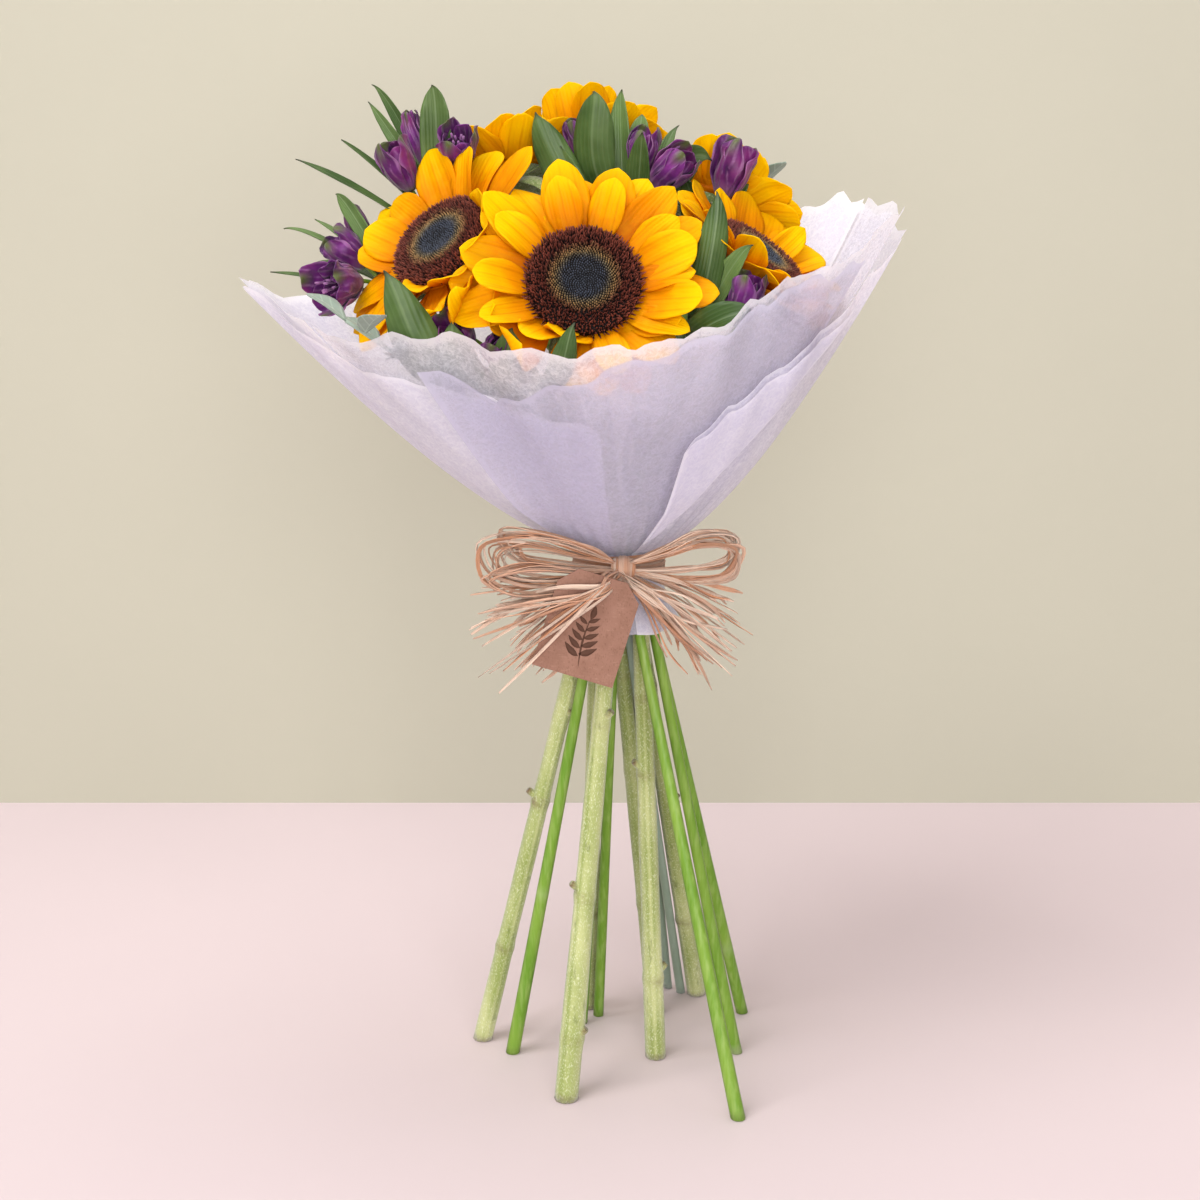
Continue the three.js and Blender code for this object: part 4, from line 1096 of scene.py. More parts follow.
@dataclass
class Wrap:
    """The white wrap: five gathered sheets round the stems."""

    rim_places: Sequence[Pair] = (
        (150, 489), (152, 497), (134, 484), (118, 462), (130, 446), (170, 438),
        (201, 454), (160, 430), (139, 428), (140, 424), (125, 446), (126, 467))
    sheets: Sequence[Sheet] = (
        # after the rim and the veil comes the painted brightness: the front sheet (0.1) and the
        # inner one (0.8) are painted towards lilac grey as painted shade
        Sheet("wrap_back", 2, 16.9, 0, (1, 1), 0.1),
        Sheet("wrap_inner", 17, 31.9, 0, (1, 1), 0.34, 0.8),
        Sheet("wrap_left", 13, 22, 1, (1, 0.98, 0.82, 0.72), 0.1, 1.0, (True, False)),
        Sheet("wrap_front", 19, 28, 2, (0.95, 0.8, 0.88, 0.94, 0.98, 1, 1, 1, 1, 1), 0.36, 0.1,
              (True, False)),
        Sheet("wrap_right", 24, 34, 3, (0.62, 0.72, 0.84, 0.96, 1, 1), 0.16, 1.0, (True, True)),
    )
    tie_radius: float = 18.6
    flare_z: float = 308.5
    hem_drop: float = 42.5
    skirt_flare: float = 11.0
    bulge: float = 0.86              # power of the rise that the radius follows
    climb: float = 1.14              # power of the rise that the height follows
    folds: int = 9
    fold_depth: float = 3.2
    lift_layers: float = 2.6
    lift_reach: float = 0.28
    column: float = 1 / 30
    common: float = 0.42
    fineness: int = 7
    rows: int = 56

    def __post_init__(self) -> None:
        """Sets the rim's curve."""
        self.rim = Spline(np.array([on_ring(r, 30 * i, z) for i, (r, z) in
                                    enumerate(self.rim_places)]), closed=True)

    def point(self, turn: Array, rise: Array, layer: Array | float) -> Array:
        """A point of the wrap.

        Args:
            turn: share of the way round the tie, from the right over the back.
            rise: from 0 at the tie to 1 at the rim, negative below the tie.
            layer: which layer it lies in, from the inside.

        Returns:
            The points, in the bunch's frame.
        """
        rim = self.rim.at(turn)
        outward = rim[:, :2] - [AXIS_X, 0]
        rim_radius = np.linalg.norm(outward, axis=1)
        outward = outward / rim_radius[:, None]
        up, down = np.maximum(rise, 0), np.maximum(-rise, 0)
        skirt = np.maximum(0, down - 0.33) / 0.67
        radius = self.tie_radius + (rim_radius - self.tie_radius) * up ** self.bulge \
            + self.skirt_flare * skirt ** 1.3
        z = self.flare_z + (rim[:, 2] - self.flare_z) * up ** self.climb \
            - self.hem_drop * down
        slope = np.minimum(2 * up, 1) * math.radians(45)
        ripple = self.fold_depth * up ** 3 * np.sin(2 * math.pi * self.folds * turn) \
            + 1.3 * up ** 2 * np.sin(2 * math.pi * 23 * turn + 4 * up) \
            + 0.8 * np.exp(-((rise - 0.1) / 0.16) ** 2) * np.sin(2 * math.pi * 37 * turn) \
            + 1.6 * skirt * np.sin(2 * math.pi * 11 * turn)
        spacing = 1.3 + 1.1 * np.minimum(1, 3 * up)
        off = ripple + layer * spacing
        flat = outward * (radius + off * np.cos(slope))[:, None]
        return np.stack([AXIS_X + flat[:, 0], flat[:, 1], z - off * np.sin(slope)], axis=1)

    def limit(self, points: Array) -> tuple[Array, Array, Array]:
        """How far from the axis the wrap is at the height of each point.

        Args:
            points: places in the bunch's frame.

        Returns:
            The points' way out, their distance from the axis, and the wrap's.
        """
        outward = points[:, :2] - [AXIS_X, 0]
        distance = np.linalg.norm(outward, axis=1)
        outward = outward / np.maximum(distance, 1e-6)[:, None]
        turn = np.arctan2(outward[:, 1], outward[:, 0]) / (2 * math.pi) % 1.0
        rim = self.rim.at(turn)
        rim_radius = np.linalg.norm(rim[:, :2] - [AXIS_X, 0], axis=1)
        up = np.clip((points[:, 2] - self.flare_z) / (rim[:, 2] - self.flare_z), 0, None)
        up = up ** (1 / self.climb)
        level = np.minimum(up, 1)
        radius = self.tie_radius + (rim_radius - self.tie_radius) * level ** self.bulge
        ripple = self.fold_depth * level ** 3 * np.sin(2 * math.pi * self.folds * turn)
        return outward, distance, radius + ripple * 0.7 + np.where(up > 1.03, FAR, 0)

    def keep_inside(self, points: Array, margin: float = 2.2) -> Array:
        """Presses points that would pass through the wrap back inside it.

        Args:
            points: places in the bunch's frame.
            margin: how far from the wrap they stay, in mm.

        Returns:
            The points, moved.
        """
        outward, distance, wall = self.limit(points)
        kept = points.copy()
        kept[:, :2] = [AXIS_X, 0] + outward * np.minimum(distance, wall - margin)[:, None]
        return kept

    def keep_outside(self, points: Array, margin: float = 9.0) -> Array:
        """Presses points that would pass through the wrap back outside it.

        Args:
            points: places in the bunch's frame.
            margin: how far from the wrap they stay, in mm.

        Returns:
            The points, moved.
        """
        outward, distance, wall = self.limit(points)
        kept = points.copy()
        wall = np.where(wall > FAR / 2, 0, wall + margin)
        kept[:, :2] = [AXIS_X, 0] + outward * np.maximum(distance, wall)[:, None]
        return kept

    def top(self, sheet: Sheet, share: Array) -> Array:
        """How far up a sheet's wavy edge reaches at shares of its width.

        Args:
            sheet: which one.
            share: of the sheet's width, from 0 to 1.

        Returns:
            The rise that it reaches.
        """
        steps = np.linspace(0, 1, len(sheet.rim))
        reach = np.interp(share, steps, sheet.rim)
        arc = share * (sheet.end - sheet.start)
        wave = 0.5 + 0.5 * np.sin(arc * 6.1 + 1.7 * np.sin(arc * 0.9) + sheet.layer)
        return reach - 0.022 * np.abs(wave) ** 1.6 + 0.004 * np.sin(arc * 13 + 2 * sheet.layer)

    def grid(self, columns: int, rows: int, name: str) -> Thing:
        """A flat grid to be laid as a sheet.

        Args:
            columns, rows: its faces both ways.
            name: the object's.

        Returns:
            The grid.
        """
        Bench.clear()
        bpy.ops.mesh.primitive_grid_add(x_subdivisions=columns, y_subdivisions=rows, size=2)
        thing = bpy.context.object
        thing.name = thing.data.name = name
        return thing

    def place_grid(self, thing: Thing, where: Callable[[Array, Array], Array]) -> None:
        """Moves a flat grid's points to where they belong, given their shares both ways.

        Args:
            thing: the grid.
            where: gives places in mm for shares across and up.
        """
        mesh = thing.data
        shares = (points_of(mesh) + 1) / 2
        points = where(shares[:, 0], shares[:, 1])
        mesh.vertices.foreach_set("co", ((points + SHIFT) * MM).ravel())
        mesh.update()

    def build_sheet(self, sheet: Sheet, finish: Material) -> None:
        """Makes one sheet and logs its cut size.

        Args:
            sheet: which one.
            finish: its cloth.
        """
        columns = int((sheet.end - sheet.start) * self.fineness)
        thing = self.grid(columns, self.rows, f"{sheet.name}_cloth")

        def where(across: Array, high: Array) -> Array:
            """Places of the sheet's own grid.

            Args:
                across, high: shares both ways.

            Returns:
                The places, in mm.
            """
            level = -1 + 2 * high
            rise = self.rise(level, self.top(sheet, across))
            turn = (sheet.start + across * (sheet.end - sheet.start)) * self.column
            return self.point(turn, rise, sheet.layer + self.edge_lift(sheet, across, rise))

        self.place_grid(thing, where)
        self.set_values(thing, sheet.veil, sheet.tint)
        width, length, area = self.measure(thing, columns)
        if sheet.name == "wrap_right":
            area += self.add_flap(thing, sheet)
        settle(thing, finish, "wrap_paper", sheet.name)
        thing.data.shade_smooth()
        area = min(area, width * length)
        LOG.info("%s: flat %.3f by %.3f m, area %.4f", sheet.name, width, length, area)

    def edge_lift(self, sheet: Sheet, across: Array, rise: Array) -> Array:
        """How far, in layers, a sheet's free side edges stand off the sheet below.

        Args:
            sheet: which one.
            across: shares of the sheet's width.
            rise: how far up each point is.

        Returns:
            The lift at each point.
        """
        wide = sheet.end - sheet.start
        off = np.zeros_like(across)
        for free, distance in zip(sheet.free, (across * wide, (1 - across) * wide)):
            if free:
                off += self.near(distance)
        return self.lift_layers * off * np.clip(rise * 3, 0, 1)

    def near(self, distance: Array) -> Array:
        """How near a free edge is, from 1 on it down to 0, by the distance in columns."""
        return np.exp(-(distance / self.lift_reach) ** 1.5)

    def rise(self, level: Array, top: Array) -> Array:
        """How far up a level of a sheet's grid lies, where its edge reaches up to a top."""
        share = np.maximum(0, level - self.common) / (1 - self.common)
        return np.minimum(level, self.common) + share * (top - self.common)

    def set_values(self, thing: Thing, veil: float, tint: float) -> None:
        """Stores a sheet's openness, its painted shade and its cut edges, which the finish paints
        whiter (painted highlight) and denser.

        Args:
            thing: the sheet.
            veil: how much shows through.
            tint: from 0, lilac grey painted shade, to 1, the cloth's own colour.
        """
        mesh = thing.data
        count: dict[int, int] = {}
        for polygon in mesh.polygons:
            for key in polygon.edge_keys:
                count[key] = count.get(key, 0) + 1
        # marks the cut edges, which the finish paints whiter as a painted highlight and makes
        # denser
        hem = np.zeros(len(mesh.vertices), np.float32)
        for key, uses in count.items():
            if uses == 1:
                hem[list(key)] = 1.0
        for name, values in (("veil", np.full(len(hem), veil)), ("tint", np.full(len(hem), tint)),
                             ("hem", hem)):
            store(mesh, name, values)

    def add_flap(self, thing: Thing, sheet: Sheet) -> float:
        """The right sheet's front edge, turned back on itself.

        Args:
            thing: the sheet that it is joined to.
            sheet: that sheet's edges and layer.

        Returns:
            The flap's area in square metres.
        """
        flap = self.grid(30, 40, "flap")

        def where(across: Array, high: Array) -> Array:
            """Places of the turned-back edge, widest at the rim.

            Args:
                across, high: shares both ways.

            Returns:
                The places, in mm.
            """
            level = 0.1 + 0.9 * high
            reach = 4.6 * high ** 0.8 * across
            turn = (sheet.start + reach) * self.column
            top = self.top(sheet, reach / (sheet.end - sheet.start)) - 0.015 * across
            rise = self.rise(level, top)
            lift = sheet.layer + 0.25 + 0.9 * np.sin(np.minimum(across * 6, 1) * math.pi / 2)
            lift = lift + self.lift_layers * self.near(reach) * np.clip(rise * 3, 0, 1)
            return self.point(turn, rise, lift)

        self.place_grid(flap, where)
        self.set_values(flap, 0.05, 1.0)
        area = sum(p.area for p in flap.data.polygons)
        bpy.ops.object.select_all(action="DESELECT")
        flap.select_set(True)
        thing.select_set(True)
        bpy.context.view_layer.objects.active = thing
        bpy.ops.object.join()
        return area

    def measure(self, thing: Thing, columns: int) -> Triple:
        """The sheet's width along its rim, its length and its area, in metres.

        Args:
            thing: the sheet.
            columns: how many faces wide the grid is.

        Returns:
            Width, length and area.
        """
        mesh = thing.data
        rows = points_of(mesh).reshape(-1, columns + 1, 3)
        width = np.linalg.norm(np.diff(rows[-1], axis=0), axis=1).sum()
        length = np.linalg.norm(np.diff(rows, axis=0), axis=2).sum(axis=0).max()
        return float(width), float(length), sum(p.area for p in mesh.polygons)

    def build(self, finish: Material) -> None:
        """Makes all the sheets."""
        for sheet in self.sheets:
            self.build_sheet(sheet, finish)


# ---- raffia and tag

@dataclass
class Raffia:
    """The raffia: strands wound round the wrap, the knot, the bow's loops and its tails."""

    wrap: Wrap
    knot: Array = field(default_factory=lambda: vec(12, -32.8, 302))
    loops: Sequence[Sequence[Triple]] = (
        ((-22, -10, 12), (-50, -14, 20), (-73, -12, 14), (-69, -15, 0), (-32, -10, -5)),
        ((-20, -14, 2), (-52, -22, 5), (-72, -22, -1), (-58, -22, -9), (-26, -14, -9)),
        ((-18, -12, 14), (-42, -16, 21), (-63, -12, 20), (-58, -12, 11), (-28, -12, 5)),
        ((20, -10, 10), (42, -14, 17), (61, -14, 13), (56, -16, 0), (26, -11, -4)),
        ((20, -13, 13), (40, -15, 21), (57, -13, 19), (56, -13, 8), (27, -12, 2)),
    )
    tails: Sequence[tuple[Triple, Triple]] = (
        ((-30, -6, -8), (-78, -8, -28)), ((-28, -9, -12), (-70, -11, -42)),
        ((-22, -6, -14), (-62, -8, -54)), ((-26, -12, -4), (-80, -14, -14)),
        ((-16, -8, -18), (-46, -11, -58)), ((28, -6, -7), (66, -8, -27)),
        ((24, -9, -12), (58, -13, -40)), ((18, -6, -16), (46, -8, -54)),
        ((28, -13, -3), (60, -18, -16)), ((14, -9, -18), (34, -12, -50)),
    )
    loop_play: Sequence[float] = (0.35, 0.9, 1.15, 1.0, 0.45)
    loop_strands: int = 13
    tail_strands: int = 7
    front_tails: int = 26
    band_radius: float = 24.6
    band_height: float = 11.0

    def __post_init__(self) -> None:
        """Models the strand that all are copies of."""
        self.strand = Bench.blade(((0, 0.8), (0.1, 1), (0.85, 0.9), (1, 0.35)), 30, 4)
        self.draw = Draw(71)

    def lay_strand(self, growth: Growth, curve: Curve, wide: Array, width: float,
                   thickness: float = 0.35, twist: float = 0.0) -> None:
        """Adds one folded, slightly uneven strand along a curve.

        Args:
            growth: the bow or the band.
            curve: its way.
            wide: roughly the way that it is wide.
            width, thickness: in mm.
            twist: how far it turns up to its end, in radians.
        """
        x, y, z = self.strand.points.T
        phase = self.draw(0, 6.3)
        half = width / 2 * (1 + 0.18 * np.sin(9 * x + phase))
        fold = 0.28 * width * np.abs(y) ** 1.4 + 0.12 * np.sin(5 * y + 11 * x + phase)
        flat = np.stack([x, y * half, z * thickness + fold], axis=1)
        points = lay(flat, curve, wide, twist)
        growth.add(points, self.strand, across=y, along=x, tone=self.draw(0, 1))

    def add_loops(self, growth: Growth) -> None:
        """The bow's loops, each a hank of strands.

        Args:
            growth: the bow.
        """
        for points in self.loops:
            side = math.copysign(1, points[0][0])
            centre = vec(42 * side, -12, 5)
            for _ in range(self.loop_strands):
                wander = vec(self.draw(-1.5, 1.5), self.draw(-3.2, 3.0), self.draw(-1.5, 1.5))
                grow = self.draw(0.6, 1.08) if side < 0 else self.draw(0.8, 1.05)
                start = self.knot + vec(side * 4, 0.3 * points[0][1], 0.35 * points[0][2])
                end = self.knot + vec(side * 4, 0.3 * points[-1][1], 0.35 * points[-1][2])
                route = [start]
                for place, share in zip(points, self.loop_play):
                    jitter = vec(self.draw(-2.4, 2.4), self.draw(-1.2, 1.2), self.draw(-2, 2))
                    round_centre = centre + (vec(*place) - centre) * grow
                    route.append(self.knot + round_centre + wander * share + jitter * share)
                route.append(end)
                curve = Spline(self.wrap.keep_outside(np.array(route), 7.5))
                wide = vec(0.2, 1, self.draw(-0.8, 0.8))
                self.lay_strand(growth, curve, wide, self.draw(0.6, 2.4),
                                twist=self.draw(-2.8, 2.8))

    def add_tails(self, growth: Growth) -> None:
        """The loose ends that fan out below the knot.

        Args:
            growth: the bow.
        """
        for middle, tip in self.tails:
            for number in range(self.tail_strands):
                spread = vec(self.draw(-9, 7), self.draw(-4, 2.5), self.draw(-8, 8))
                length = self.draw(0.72, 1.06)
                start = self.knot + unit(vec(*middle)) * 4.5
                bend = self.knot + vec(*middle) + spread * 0.3
                end = self.knot + (vec(*tip) + spread) * length
                kink = end + (bend - end) * 0.35 + vec(self.draw(-3, 3), self.draw(-2, 1),
                                                      self.draw(-3, 3))
                curve = Spline(np.array([start, bend, kink, end]))
                wide = vec(self.draw(-0.3, 0.3), -0.3, 1) if number % 2 else vec(0.3, -1, 0.3)
                self.lay_strand(growth, curve, wide, self.draw(1.0, 2.6), twist=self.draw(-2, 2))

    def add_front_tails(self, growth: Growth) -> None:
        """Loose ends that fall from the knot in front of the card.

        Args:
            growth: the bow.
        """
        for number in range(self.front_tails):
            side = -1 if number % 5 < 3 else 1
            length = self.draw(52, 84) if side < 0 else self.draw(44, 66)
            drop = length * (self.draw(0.2, 0.95) if side < 0 else self.draw(0.4, 1.15))
            start = self.knot + vec(self.draw(-3, 1), -6.5, self.draw(-4, 1))
            over = self.knot + vec(side * self.draw(9, 14), self.draw(-25, -23), -self.draw(4, 10))
            end = self.knot + vec(side * length, self.draw(-24, -16), -drop)
            kink = (over + end) / 2 + vec(self.draw(-2, 2), self.draw(-3, -1), self.draw(-3, 4))
            wide = vec(0.3, -0.2, 1) if number % 2 else vec(0.2, -1, 0.4)
            self.lay_strand(growth, Spline(np.array([start, over, kink, end])), wide,
                            self.draw(1.2, 2.6), twist=self.draw(-1.5, 1.5))

    def add_knot(self, growth: Growth) -> None:
        """Strands wound over the knot, and the strand that passes the tag's hole.

        Args:
            growth: the bow.
        """
        for number in range(9):
            x = -5.0 + 1.25 * number
            girth = 8.4 - 0.09 * x * x
            angles = np.linspace(-0.4, 2 * math.pi - 0.4, 9)
            lean = 0.25 * x
            ring = np.stack([
                self.knot[0] + x + 0.2 * lean * np.sin(angles),
                self.knot[1] + girth * 0.95 * -np.cos(angles),
                self.knot[2] + girth * 0.95 * np.sin(angles) - 0.4], axis=1)
            self.lay_strand(growth, Spline(ring), vec(1, 0, 0.1), 2.7, 0.5)
        route = [self.knot + vec(-2, -4, 0), TAG_HOLE + vec(3, -4.5, 5),
                 TAG_HOLE + vec(0.4, -3.2, 0.6), TAG_HOLE + vec(0, 3, -0.2),
                 TAG_HOLE + vec(2, 5, 6), self.knot + vec(-3, -2, -2)]
        self.lay_strand(growth, Spline(np.array(route)), vec(1, 0, 0.2), 1.8, 0.8)

    def add_band(self, growth: Growth) -> None:
        """Strands wound round the gathered wrap.

        Args:
            growth: the band.
        """
        for number in range(8):
            z = 302 + self.band_height * (number / 7 - 0.5) * 0.86
            for start in (0, math.pi):
                angles = start + np.linspace(-0.06, math.pi + 0.06, 14)
                radius = self.band_radius + self.draw(-0.25, 0.35)
                lean = self.draw(-0.7, 0.7)
                arc = np.stack([AXIS_X + radius * np.cos(angles), radius * np.sin(angles),
                                z + lean * np.cos(angles)], axis=1)
                self.lay_strand(growth, Spline(arc), vec(0, 0, 1), 2.3, 0.5)

    def build(self, finish: Material) -> None:
        """Makes the bow with the knot, and the band.

        Args:
            finish: the raffia.
        """
        bow = Growth()
        self.add_loops(bow)
        self.add_tails(bow)
        self.add_front_tails(bow)
        self.add_knot(bow)
        bow.build("bow_strands", finish, "raffia", "raffia_bow")
        band = Growth()
        self.add_band(band)
        band.build("band_strands", finish, "raffia", "raffia_band")


# ---- sunflowers

@dataclass
class Sunflower:
    """One sunflower: where its stem stands, and where and how its head faces."""

    name: str
    foot: Pair
    slot: float
    foot_radius: float
    centre: Triple
    facing: Triple
    disc: float
    reach: float
    lift: float
    seed: int
    joints: Sequence[float]
    stubs: Sequence[Pair]
    counts: tuple[int, int, int] = (11, 11, 5)
    curled: Sequence[Pair] = ()

    def __post_init__(self) -> None:
        """Sets the head's own frame."""
        way = Vector(self.facing).normalized()
        self.turn = turn_from_up(way)
        self.axis = np.array(way)

    def head(self, local: Array) -> Array:
        """Brings places from the head's own frame to the bunch's."""
        return local @ self.turn.T + vec(*self.centre)


SUNFLOWERS = (
    Sunflower("sunflower_1", (-19, -39), 258, 6.9, (-8, -76, 452), (0.03, -0.88, 0.47), 28, 65,
              0.22, 11, (34, 118, 215), ((34, 340), (118, 200), (215, 320)), (12, 12, 10),
              ((185, 246),)),
    Sunflower("sunflower_2", (-71, 34), 189, 5.6, (-78, -43, 470), (-0.5, -0.58, 0.64), 27.5, 65,
              0.1, 23, (62, 158, 208), ((158, 190), (208, 330)), (12, 11, 6), ((232, 285),)),
    Sunflower("sunflower_3", (33, 11), 327, 6.1, (80, -28, 462), (0.56, -0.3, 0.77), 26, 54, 0.42,
              37, (52, 180, 226), ((52, 20), (180, 200)), (12, 11, 5)),
    Sunflower("sunflower_4", (-8, 77), 146, 5.6, (-53, 42, 508), (-0.34, 0.32, 0.88), 25, 52, 0.5,
              41, (72, 150, 230), ((150, 90),)),
    Sunflower("sunflower_5", (35, 70), 103, 5.6, (-8, 68, 514), (0.05, 0.74, 0.67), 25, 52, 0.42,
              53, (80, 170, 232), ((170, 80),)),
    Sunflower("sunflower_6", (62, 96), 60, 5.6, (64, 42, 489), (0.42, 0.5, 0.76), 25, 51, 0.45,
              67, (58, 140, 222), ((140, 30),)),
)


@dataclass
class Rays:
    """The yellow rays of all the heads."""

    wrap: Wrap
    room: Room
    ring_profile: Sequence[Pair] = (
        (0.8, -5.4), (0.97, -5.1), (0.97, -1.2), (0.8, -0.4))
    ring_sides: int = 28
    root_share: float = 0.86         # where a ray starts, as a share of the disc's radius
    levels: Triple = (-4.4, -2.9, -1.5)
    layer_lift: Triple = (-0.16, 0.02, 0.24)
    width: float = 24.5
    thickness: float = 0.45
    most_hits: int = 6
    tries: tuple[Pair, ...] = (
        (1, 0), (1, 0.2), (1, -0.2), (0.86, 0), (1, 0.4), (1, -0.4), (0.86, 0.3), (0.86, -0.3),
        (0.72, 0), (0.72, 0.45), (0.72, -0.4), (0.58, 0), (0.58, 0.5), (0.86, 0.6), (0.58, 0.75))

    def __post_init__(self) -> None:
        """Models the ray, fine and coarse."""
        outline = ((0, 0.42), (0.1, 0.56), (0.25, 0.82), (0.42, 0.98), (0.55, 1.0), (0.7, 0.93),
                   (0.82, 0.79), (0.9, 0.58), (0.96, 0.3), (1.0, 0.02))
        self.ray = Bench.blade(outline, 22, 12)
        self.coarse = Bench.blade(outline, 6, 2)
        self.coarse_faces = self.coarse.faces()

    def spine(self, flower: Sunflower, angle: float, level: float, length: float, lift: float,
              arch: float, sway: float, recurve: float, curl: float) -> Bezier:
        """The bent middle line of one ray, in the bunch's frame.

        Args:
            flower: whose ray it is.
            angle: its way round, in radians.
            level: height of the root on the ring.
            length: in mm.
            lift: how far it leans forwards, in radians.
            arch, sway, recurve: its bow, and how far its tip goes aside and up, in mm.
            curl: above 0, how far its tip curls back inwards.

        Returns:
            The curve.
        """
        radial, around = spokes(angle)
        root = self.root_share * flower.disc

        def place(out: float, high: float, aside: float) -> Array:
            """A place by its way out, up and aside in the head."""
            return flower.head(radial * out + UP * (level + high) + around * aside)

        reach, rise = length * math.cos(lift), length * math.sin(lift)
        if curl > 0:
            return Bezier([place(root, 0, 0), place(root + 0.6 * length, 0.02 * length, 0.3 * sway),
                           place(root + length, (0.12 + 0.24 * curl) * length, sway),
                           place(root + length * (1 - 0.36 * curl), (0.2 + 0.36 * curl) * length,
                                 1.6 * sway)])
        return Bezier([place(root, 0, 0),
                       place(root + 0.34 * reach, arch + 0.14 * rise, 0.2 * sway),
                       place(root + 0.72 * reach, 0.66 * rise + arch, 0.7 * sway),
                       place(root + reach, rise + recurve, sway)])

    def form(self, shape: Shape, width: float, trough: float, ruffle: float, phase: float) -> Array:
        """One ray laid flat: shares along, and mm across and above.

        Args:
            shape: the blade.
            width: in mm.
            trough, ruffle: depth of the middle and of the waves, in mm.
            phase: where the waves start.

        Returns:
            The flat ray.
        """
        x, y, z = shape.points.T
        point = np.clip((x - 0.55) / 0.45, 0, 1)
        width = width * (1 - 0.26 * (0.5 + 0.5 * math.cos(3 * phase)) * point)
        body = np.sin(np.clip(x * 1.15, 0, 1) * math.pi) ** 0.7
        groove = 0.42 * np.cos(y * 7 + phase) + 0.14 * np.cos(y * 17 + phase)
        high = trough * np.abs(y) ** 1.7 * body + groove * body * (1 - np.abs(y) ** 4)
        high += ruffle * y * np.abs(y) * np.sin(5.2 * x + phase) * x
        high += 0.5 * ruffle * np.abs(y) * np.sin(9 * x + 2 * phase) * x
        return np.stack([x, y * width / 2, z * self.thickness + high], axis=1)

    def build_head(self, flower: Sunflower, finish: Material) -> None:
        """Makes the rays of one head, on their ring.

        Args:
            flower: whose head it is.
            finish: the petals'.
        """
        growth = Growth()
        draw = Draw(flower.seed + 900)
        owner = f"{flower.name}_rays"
        ring = Bench.turned(self.ring_profile, self.ring_sides)
        growth.add(flower.head(ring.points * vec(flower.disc, flower.disc, 1)), ring,
                   along=0.0, across=0.0, tone=0.2)
        for layer, count in enumerate(flower.counts):
            for i in range(count):
                self.add_ray(growth, flower, draw, layer, (i + 0.5 * (layer % 2)) / count, owner)
        growth.build(f"{flower.name}_petals", finish, "sunflower_ray", owner)

    def add_ray(self, growth: Growth, flower: Sunflower, draw: Draw, layer: int, share: float,
                owner: str) -> None:
        """Adds one ray with the lift that leaves it clear of the neighbours.

        Args:
            growth: the head's rays.
            flower: whose ray it is.
            draw: the head's own draws.
            layer: 0 at the back to 2 in front.
            share: of the way round.
            owner: the head's node.
        """
        angle = 2 * math.pi * share + draw(-0.1, 0.1)
        length = flower.reach - self.root_share * flower.disc
        length *= draw(0.9, 1.08) * (0.84 if layer == 2 else 1)
        lift = flower.lift + self.layer_lift[layer] + draw(-0.12, 0.14)
        level = self.levels[layer] + draw(-0.4, 0.4)
        arch, sway, recurve = draw(0, 3), draw(-5, 5), draw(-4, 2.5)
        width = self.width * draw(0.84, 1.08) * (0.72 if layer == 2 else 1)
        twist, trough = draw(-0.45, 0.45), draw(0.5, 3.4)
        ruffle, phase, tone = draw(0.3, 2.2), draw(0, 6.28), draw(0, 1)
        at = math.degrees(angle) % 360
        bent = any(low < at < high for low, high in flower.curled)
        curl = draw(0.3, 1.0) if bent and layer < 2 and draw(0, 1) < 0.7 else 0.0
        twist += draw(-0.8, 0.8) if curl else 0
        around = flower.turn @ spokes(angle)[1]
        spines = [self.spine(flower, angle, level, length * part, lift + more, arch, sway,
                             recurve, curl) for part, more in self.tries]
        flat = self.form(self.coarse, width, trough, ruffle, phase)
        ways = [self.wrap.keep_inside(lay(flat, s, around, twist)) for s in spines]
        best = self.room.clearest(owner, ways, self.coarse_faces)
        if layer == 2 and self.room.hits(owner, ways[best], self.coarse_faces) > self.most_hits:
            return
        points = lay(self.form(self.ray, width, trough, ruffle, phase), spines[best], around, twist)
        self.room.take(owner, ways[best], self.coarse_faces)
        x, y, _ = self.ray.points.T
        # painted light: rays of the heads behind (y above 0) are lifted 0.4 towards the tip's
        # yellow; each layer further front is also a little more yellow
        growth.add(self.wrap.keep_inside(points), self.ray, along=x, across=y,
                   tone=tone * 0.7 + 0.15 * layer + (0.4 if flower.centre[1] > 0 else 0))


